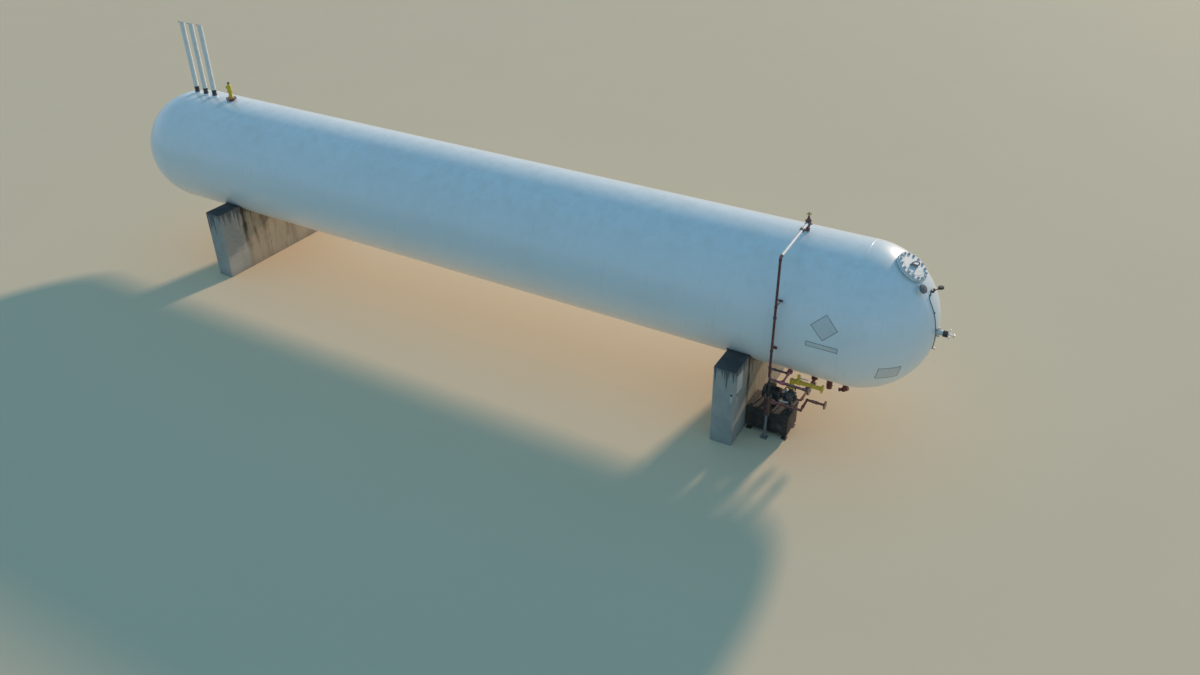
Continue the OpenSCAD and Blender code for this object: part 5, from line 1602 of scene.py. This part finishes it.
class PRESSURE_TANK_OT_pot_and_return(bpy.types.Operator):
    """Adds the strainer pot on its post and the joints and the lever valve of the return line"""

    bl_idname = "pressure_tank.pot_and_return"
    bl_label = "Pot and return line"

    def execute(self, context):
        at = spot(POST_X, POST_Y, POT_Z)
        pot = Form()
        pot.solid([(0.046, 0.0), (0.05, 0.006), (0.052, 0.04), (0.06, 0.056), (0.068, 0.066),
                   (0.07, 0.08), (0.07, 0.372), (0.067, 0.388), (0.056, 0.396), (0.054, 0.402),
                   (0.075, 0.404), (0.077, 0.406), (0.077, 0.418), (0.075, 0.42), (0.0745, 0.422),
                   (0.075, 0.424), (0.077, 0.426), (0.077, 0.438), (0.075, 0.44)], at, 48)
        pot.nut(0.118, 0.026, at, 0.02)
        spout = facing(at @ Vector((0, 0, 0.13)), FRONT)
        pot.solid([(0.024, 0.05), (0.024, 0.098), (0.02, 0.102)], spout, 20)
        pot.nut(0.04, 0.016, spout, 0.1)
        pot.stand_for("strainer_pot", "strainer_pot_body", "dark pot paint")
        nuts = Form()
        nuts.studs(moved(at, z=0.44), 6, 0.061, 0.015, 0.011, 0.0045, 3)
        nuts.studs(spun(moved(at, z=0.404), math.pi, "X"), 6, 0.061, 0.015, 0.011, 0.0045, 4)
        for sx in (-0.045, 0.045):
            for sy in (-0.045, 0.045):
                nuts.nut(0.018, 0.012, spot(POST_X + sx, POST_Y + sy, 0.012))
        nuts.piece("pot_nuts", "nut zinc", "cap_grey")
        # post with a foot plate, four ribs and a round seat
        post = Form()
        foot = spot(POST_X, POST_Y, 0)
        post.block((0.13, 0.13, 0.012), moved(foot, z=0.006), 0.002)
        post.rod(0.03, 0.01, 0.545, foot, 36)
        post.solid([(0.03, 0.545), (0.06, 0.549), (0.06, 0.56)], foot, 36)
        for k in range(4):
            rib = spun(spun(foot, math.pi * k / 2 + math.pi / 4), math.pi / 2, "X")
            post.prism([(0.028, 0.011), (0.066, 0.011), (0.066, 0.018), (0.032, 0.07), (0.028, 0.07)],
                       -0.004, 0.004, rib, 0.001)
        post.stand_for("pipe_post", "pot_post", "post paint")
        # joints of the return line
        dress("dark red paint", "return_pipe")
        joints = Form()
        for x, y, way in ((0.86, POST_Y, AHEAD), (1.215, POST_Y, AHEAD), (1.34, POST_Y + 0.1, BACK),
                          (1.43, -0.801, AHEAD)):
            joints.collar(0.031, 0.0, 0.05, facing((x, y, RETURN_Z), way))
        cone = facing((1.66, -0.801, RETURN_Z), AHEAD)
        joints.solid([(0.034, 0), (0.042, 0.012), (0.042, 0.04)], cone, 40)
        joints.piece("return_line_joints", "dark red paint", "red_oxide", angle=30)
        # valve of the return line, its lever and the longer lever of the yellow valve
        at = spot(RETURN_VALVE_X, POST_Y, RETURN_Z)
        valve = Form()
        valve.solid([(0.032, -0.044), (0.036, -0.04), (0.036, -0.028), (0.044, -0.02), (0.044, 0.02),
                     (0.036, 0.028), (0.036, 0.04), (0.032, 0.044)], spun(at, math.pi / 2, "Y"), 32)
        valve.nut(0.066, 0.012, spun(at, math.pi / 2, "Y"), 0.03)
        valve.solid([(0.02, 0.03), (0.02, 0.068), (0.012, 0.072), (0.01, 0.081)], at, 20)
        valve.piece("return_valve_body", "dark pot paint", "red_oxide")
        lever = Form()
        lever.prism([(0.022, -0.011), (0.022, 0.011), (-0.03, 0.013), (-0.1, 0.009), (-0.15, 0.01),
                     (-0.15, -0.01), (-0.1, -0.009), (-0.03, -0.013)], 0.08, 0.085, at, 0.001)
        lever.pipe([at @ Vector((-0.104, 0, 0.083)), at @ Vector((-0.15, 0, 0.083))], 0.009, steps=16)
        lever.nut(0.018, 0.008, at, 0.084)
        at = spot(YELLOW_VALVE_X, YELLOW_Y, YELLOW_Z)
        lever.prism([(-0.022, -0.016), (-0.022, 0.016), (0.036, 0.018), (0.12, 0.012), (0.19, 0.013),
                     (0.19, -0.013), (0.12, -0.012), (0.036, -0.018)], 0.096, 0.102, at, 0.001)
        lever.pipe([at @ Vector((0.11, 0, 0.1)), at @ Vector((0.189, 0, 0.1))], 0.013, steps=16)
        lever.stand_for("valve_levers", "white_valve_levers", "white fitting paint", angle=32)
        return {"FINISHED"}


class PRESSURE_TANK_OT_yellow_line(bpy.types.Operator):
    """Adds the valve of the yellow line and the joints of its pipe"""

    bl_idname = "pressure_tank.yellow_line"
    bl_label = "Yellow line"

    def execute(self, context):
        dress("yellow paint", "yellow_pipe")
        y, z = YELLOW_Y, YELLOW_Z
        body = Form()
        at = facing((YELLOW_VALVE_X, y, z), AHEAD)
        body.solid([(0.052, -0.055), (0.055, -0.052), (0.055, -0.04), (0.048, -0.036), (0.056, -0.014),
                    (0.056, 0.014), (0.048, 0.036), (0.055, 0.04), (0.055, 0.052), (0.052, 0.055)], at, 40)
        up = spot(YELLOW_VALVE_X, y, z)
        body.lathe([(0, 0.04), (0.034, 0.04), (0.034, 0.078), (0.026, 0.084), (0.022, 0.11), (0.03, 0.122),
                    (0.031, 0.15), (0.024, 0.16), (0.012, 0.176), (0, 0.178)], up, 28)
        body.nut(0.058, 0.018, up, 0.06)
        body.stand_for("yellow_valve", "yellow_valve_body", "yellow paint")
        joints = Form()
        joints.collar(0.0475, 0.0, 0.026, facing((1.05, y, z), AHEAD))
        joints.collar(0.0475, 0.0, 0.06, facing((1.345, y, z), AHEAD))
        joints.solid([(0.048, 0), (0.054, 0.014), (0.054, 0.02)], facing((1.56, y, z), AHEAD), 44)
        low = spot(PUMP_X, y, 0)
        joints.disc(0.068, PUMP_Z + 0.25, PUMP_Z + 0.268, low)
        joints.collar(0.047, PUMP_Z + 0.266, PUMP_Z + 0.29, low)
        joints.collar(0.0465, z - 0.076, z - 0.048, low)
        joints.piece("yellow_line_joints", "yellow paint", "yellow", angle=30)
        nuts = Form()
        nuts.studs(moved(low, z=PUMP_Z + 0.268), 4, 0.057, 0.015, 0.011, 0.0045, 6, SQUARE_TURN)
        nuts.piece("yellow_line_nuts", "nut zinc", "cap_grey")
        return {"FINISHED"}


class PRESSURE_TANK_OT_plates(bpy.types.Operator):
    """Adds the blank plates with their thin borders"""

    bl_idname = "pressure_tank.plates"
    bl_label = "Blank plates"

    def execute(self, context):
        # the two plates on the shell: angle from the crown, half sizes and turn
        x = NEAR_X - 0.3
        side = Form()
        edge = Form()
        for ang, u, v, turn in ((77.0, 0.18, 0.18, math.pi / 4), (92.5, 0.295, 0.055, 0.0)):
            def on_shell(a, b, lift, ang=ang, turn=turn):
                p = a * math.cos(turn) - b * math.sin(turn)
                q = a * math.sin(turn) + b * math.cos(turn)
                t = math.radians(ang) - q / RAD
                return Vector((x + p, -(RAD + lift) * math.sin(t), AXIS_Z + (RAD + lift) * math.cos(t)))

            side.sheet(on_shell, u, v, -0.001, 0.003, 20)
            edge.border(on_shell, u - 0.008, v - 0.008, 0.007, 0.0025, 0.0042, 20)
        side.stand_for("side_plates", "blank_side_plates", "blank plate paint")
        # plate on the near head
        mid = on_head(-19.5, -50.5)

        def on_ball(a, b, lift):
            p = mid.to_3x3() @ Vector((a, b, RAD))
            return HEAD_MIDDLE + p.normalized() * (RAD + lift)

        ball = Form()
        ball.sheet(on_ball, 0.15, 0.22, -0.001, 0.003, 16)
        edge.border(on_ball, 0.142, 0.212, 0.007, 0.0025, 0.0042, 16)
        ball.stand_for("head_plate", "blank_head_plate", "blank plate paint")
        # plate on the near saddle, with a screw in each corner
        flat = Form()
        centre = spot(SADDLE_T / 2 + 0.0015, -SADDLE_W / 2 + 0.24, SADDLE_TOP - 0.35)
        centre = spun(centre, math.pi / 2, "Y")
        flat.block((0.42, 0.3, 0.003), centre, 0.0008)

        def on_saddle(a, b, lift):
            return centre @ Vector((a, b, lift))

        edge.border(on_saddle, 0.202, 0.142, 0.007, 0.0, 0.0027, 1)
        flat.stand_for("saddle_plate", "blank_saddle_plate", "blank plate paint")
        edge.piece("plate_borders", "plate border paint", "plate", angle=30)
        screws = Form()
        for sx in (-0.19, 0.19):
            for sy in (-0.13, 0.13):
                place = moved(centre, x=sx, y=sy)
                screws.solid([(0.007, 0.001), (0.006, 0.004), (0.003, 0.006)], place, 16)
        screws.piece("plate_screws", "nut zinc", "cap_grey", angle=40)
        return {"FINISHED"}


class PRESSURE_TANK_PT_panel(bpy.types.Panel):
    """Lists the steps that finish the tank"""

    bl_idname = "PRESSURE_TANK_PT_panel"
    bl_label = "Pressure tank"
    bl_space_type = "VIEW_3D"
    bl_region_type = "UI"
    bl_category = "Tank"

    def draw(self, context):
        for settings in (context.scene.tank_sizes, context.scene.tank_colors, context.scene.tank_stage):
            box = self.layout.box()
            for key in settings.bl_rna.properties.keys():
                if key not in ("rna_type", "name"):
                    box.prop(settings, key)
        for step in STEPS:
            self.layout.operator(step.bl_idname)


STEPS = (
    PRESSURE_TANK_OT_stage,
    PRESSURE_TANK_OT_shell,
    PRESSURE_TANK_OT_saddles,
    PRESSURE_TANK_OT_manway,
    PRESSURE_TANK_OT_vents,
    PRESSURE_TANK_OT_fill_valve,
    PRESSURE_TANK_OT_vapour_line,
    PRESSURE_TANK_OT_cross_pipe,
    PRESSURE_TANK_OT_head_fittings,
    PRESSURE_TANK_OT_outlets,
    PRESSURE_TANK_OT_suction,
    PRESSURE_TANK_OT_pump,
    PRESSURE_TANK_OT_pot_and_return,
    PRESSURE_TANK_OT_yellow_line,
    PRESSURE_TANK_OT_plates,
)
CLASSES = (TankSizes, TankColors, StageSettings, *STEPS, PRESSURE_TANK_PT_panel)


def register():
    for c in CLASSES:
        bpy.utils.register_class(c)
    bpy.types.Scene.tank_sizes = bpy.props.PointerProperty(type=TankSizes)
    bpy.types.Scene.tank_colors = bpy.props.PointerProperty(type=TankColors)
    bpy.types.Scene.tank_stage = bpy.props.PointerProperty(type=StageSettings)


def unregister():
    del bpy.types.Scene.tank_stage
    del bpy.types.Scene.tank_colors
    del bpy.types.Scene.tank_sizes
    for c in reversed(CLASSES):
        bpy.utils.unregister_class(c)


def main():
    register()
    for step in STEPS:
        family, name = step.bl_idname.split(".")
        getattr(getattr(bpy.ops, family), name)()
    bpy.context.view_layer.update()


if __name__ == "__main__":
    main()
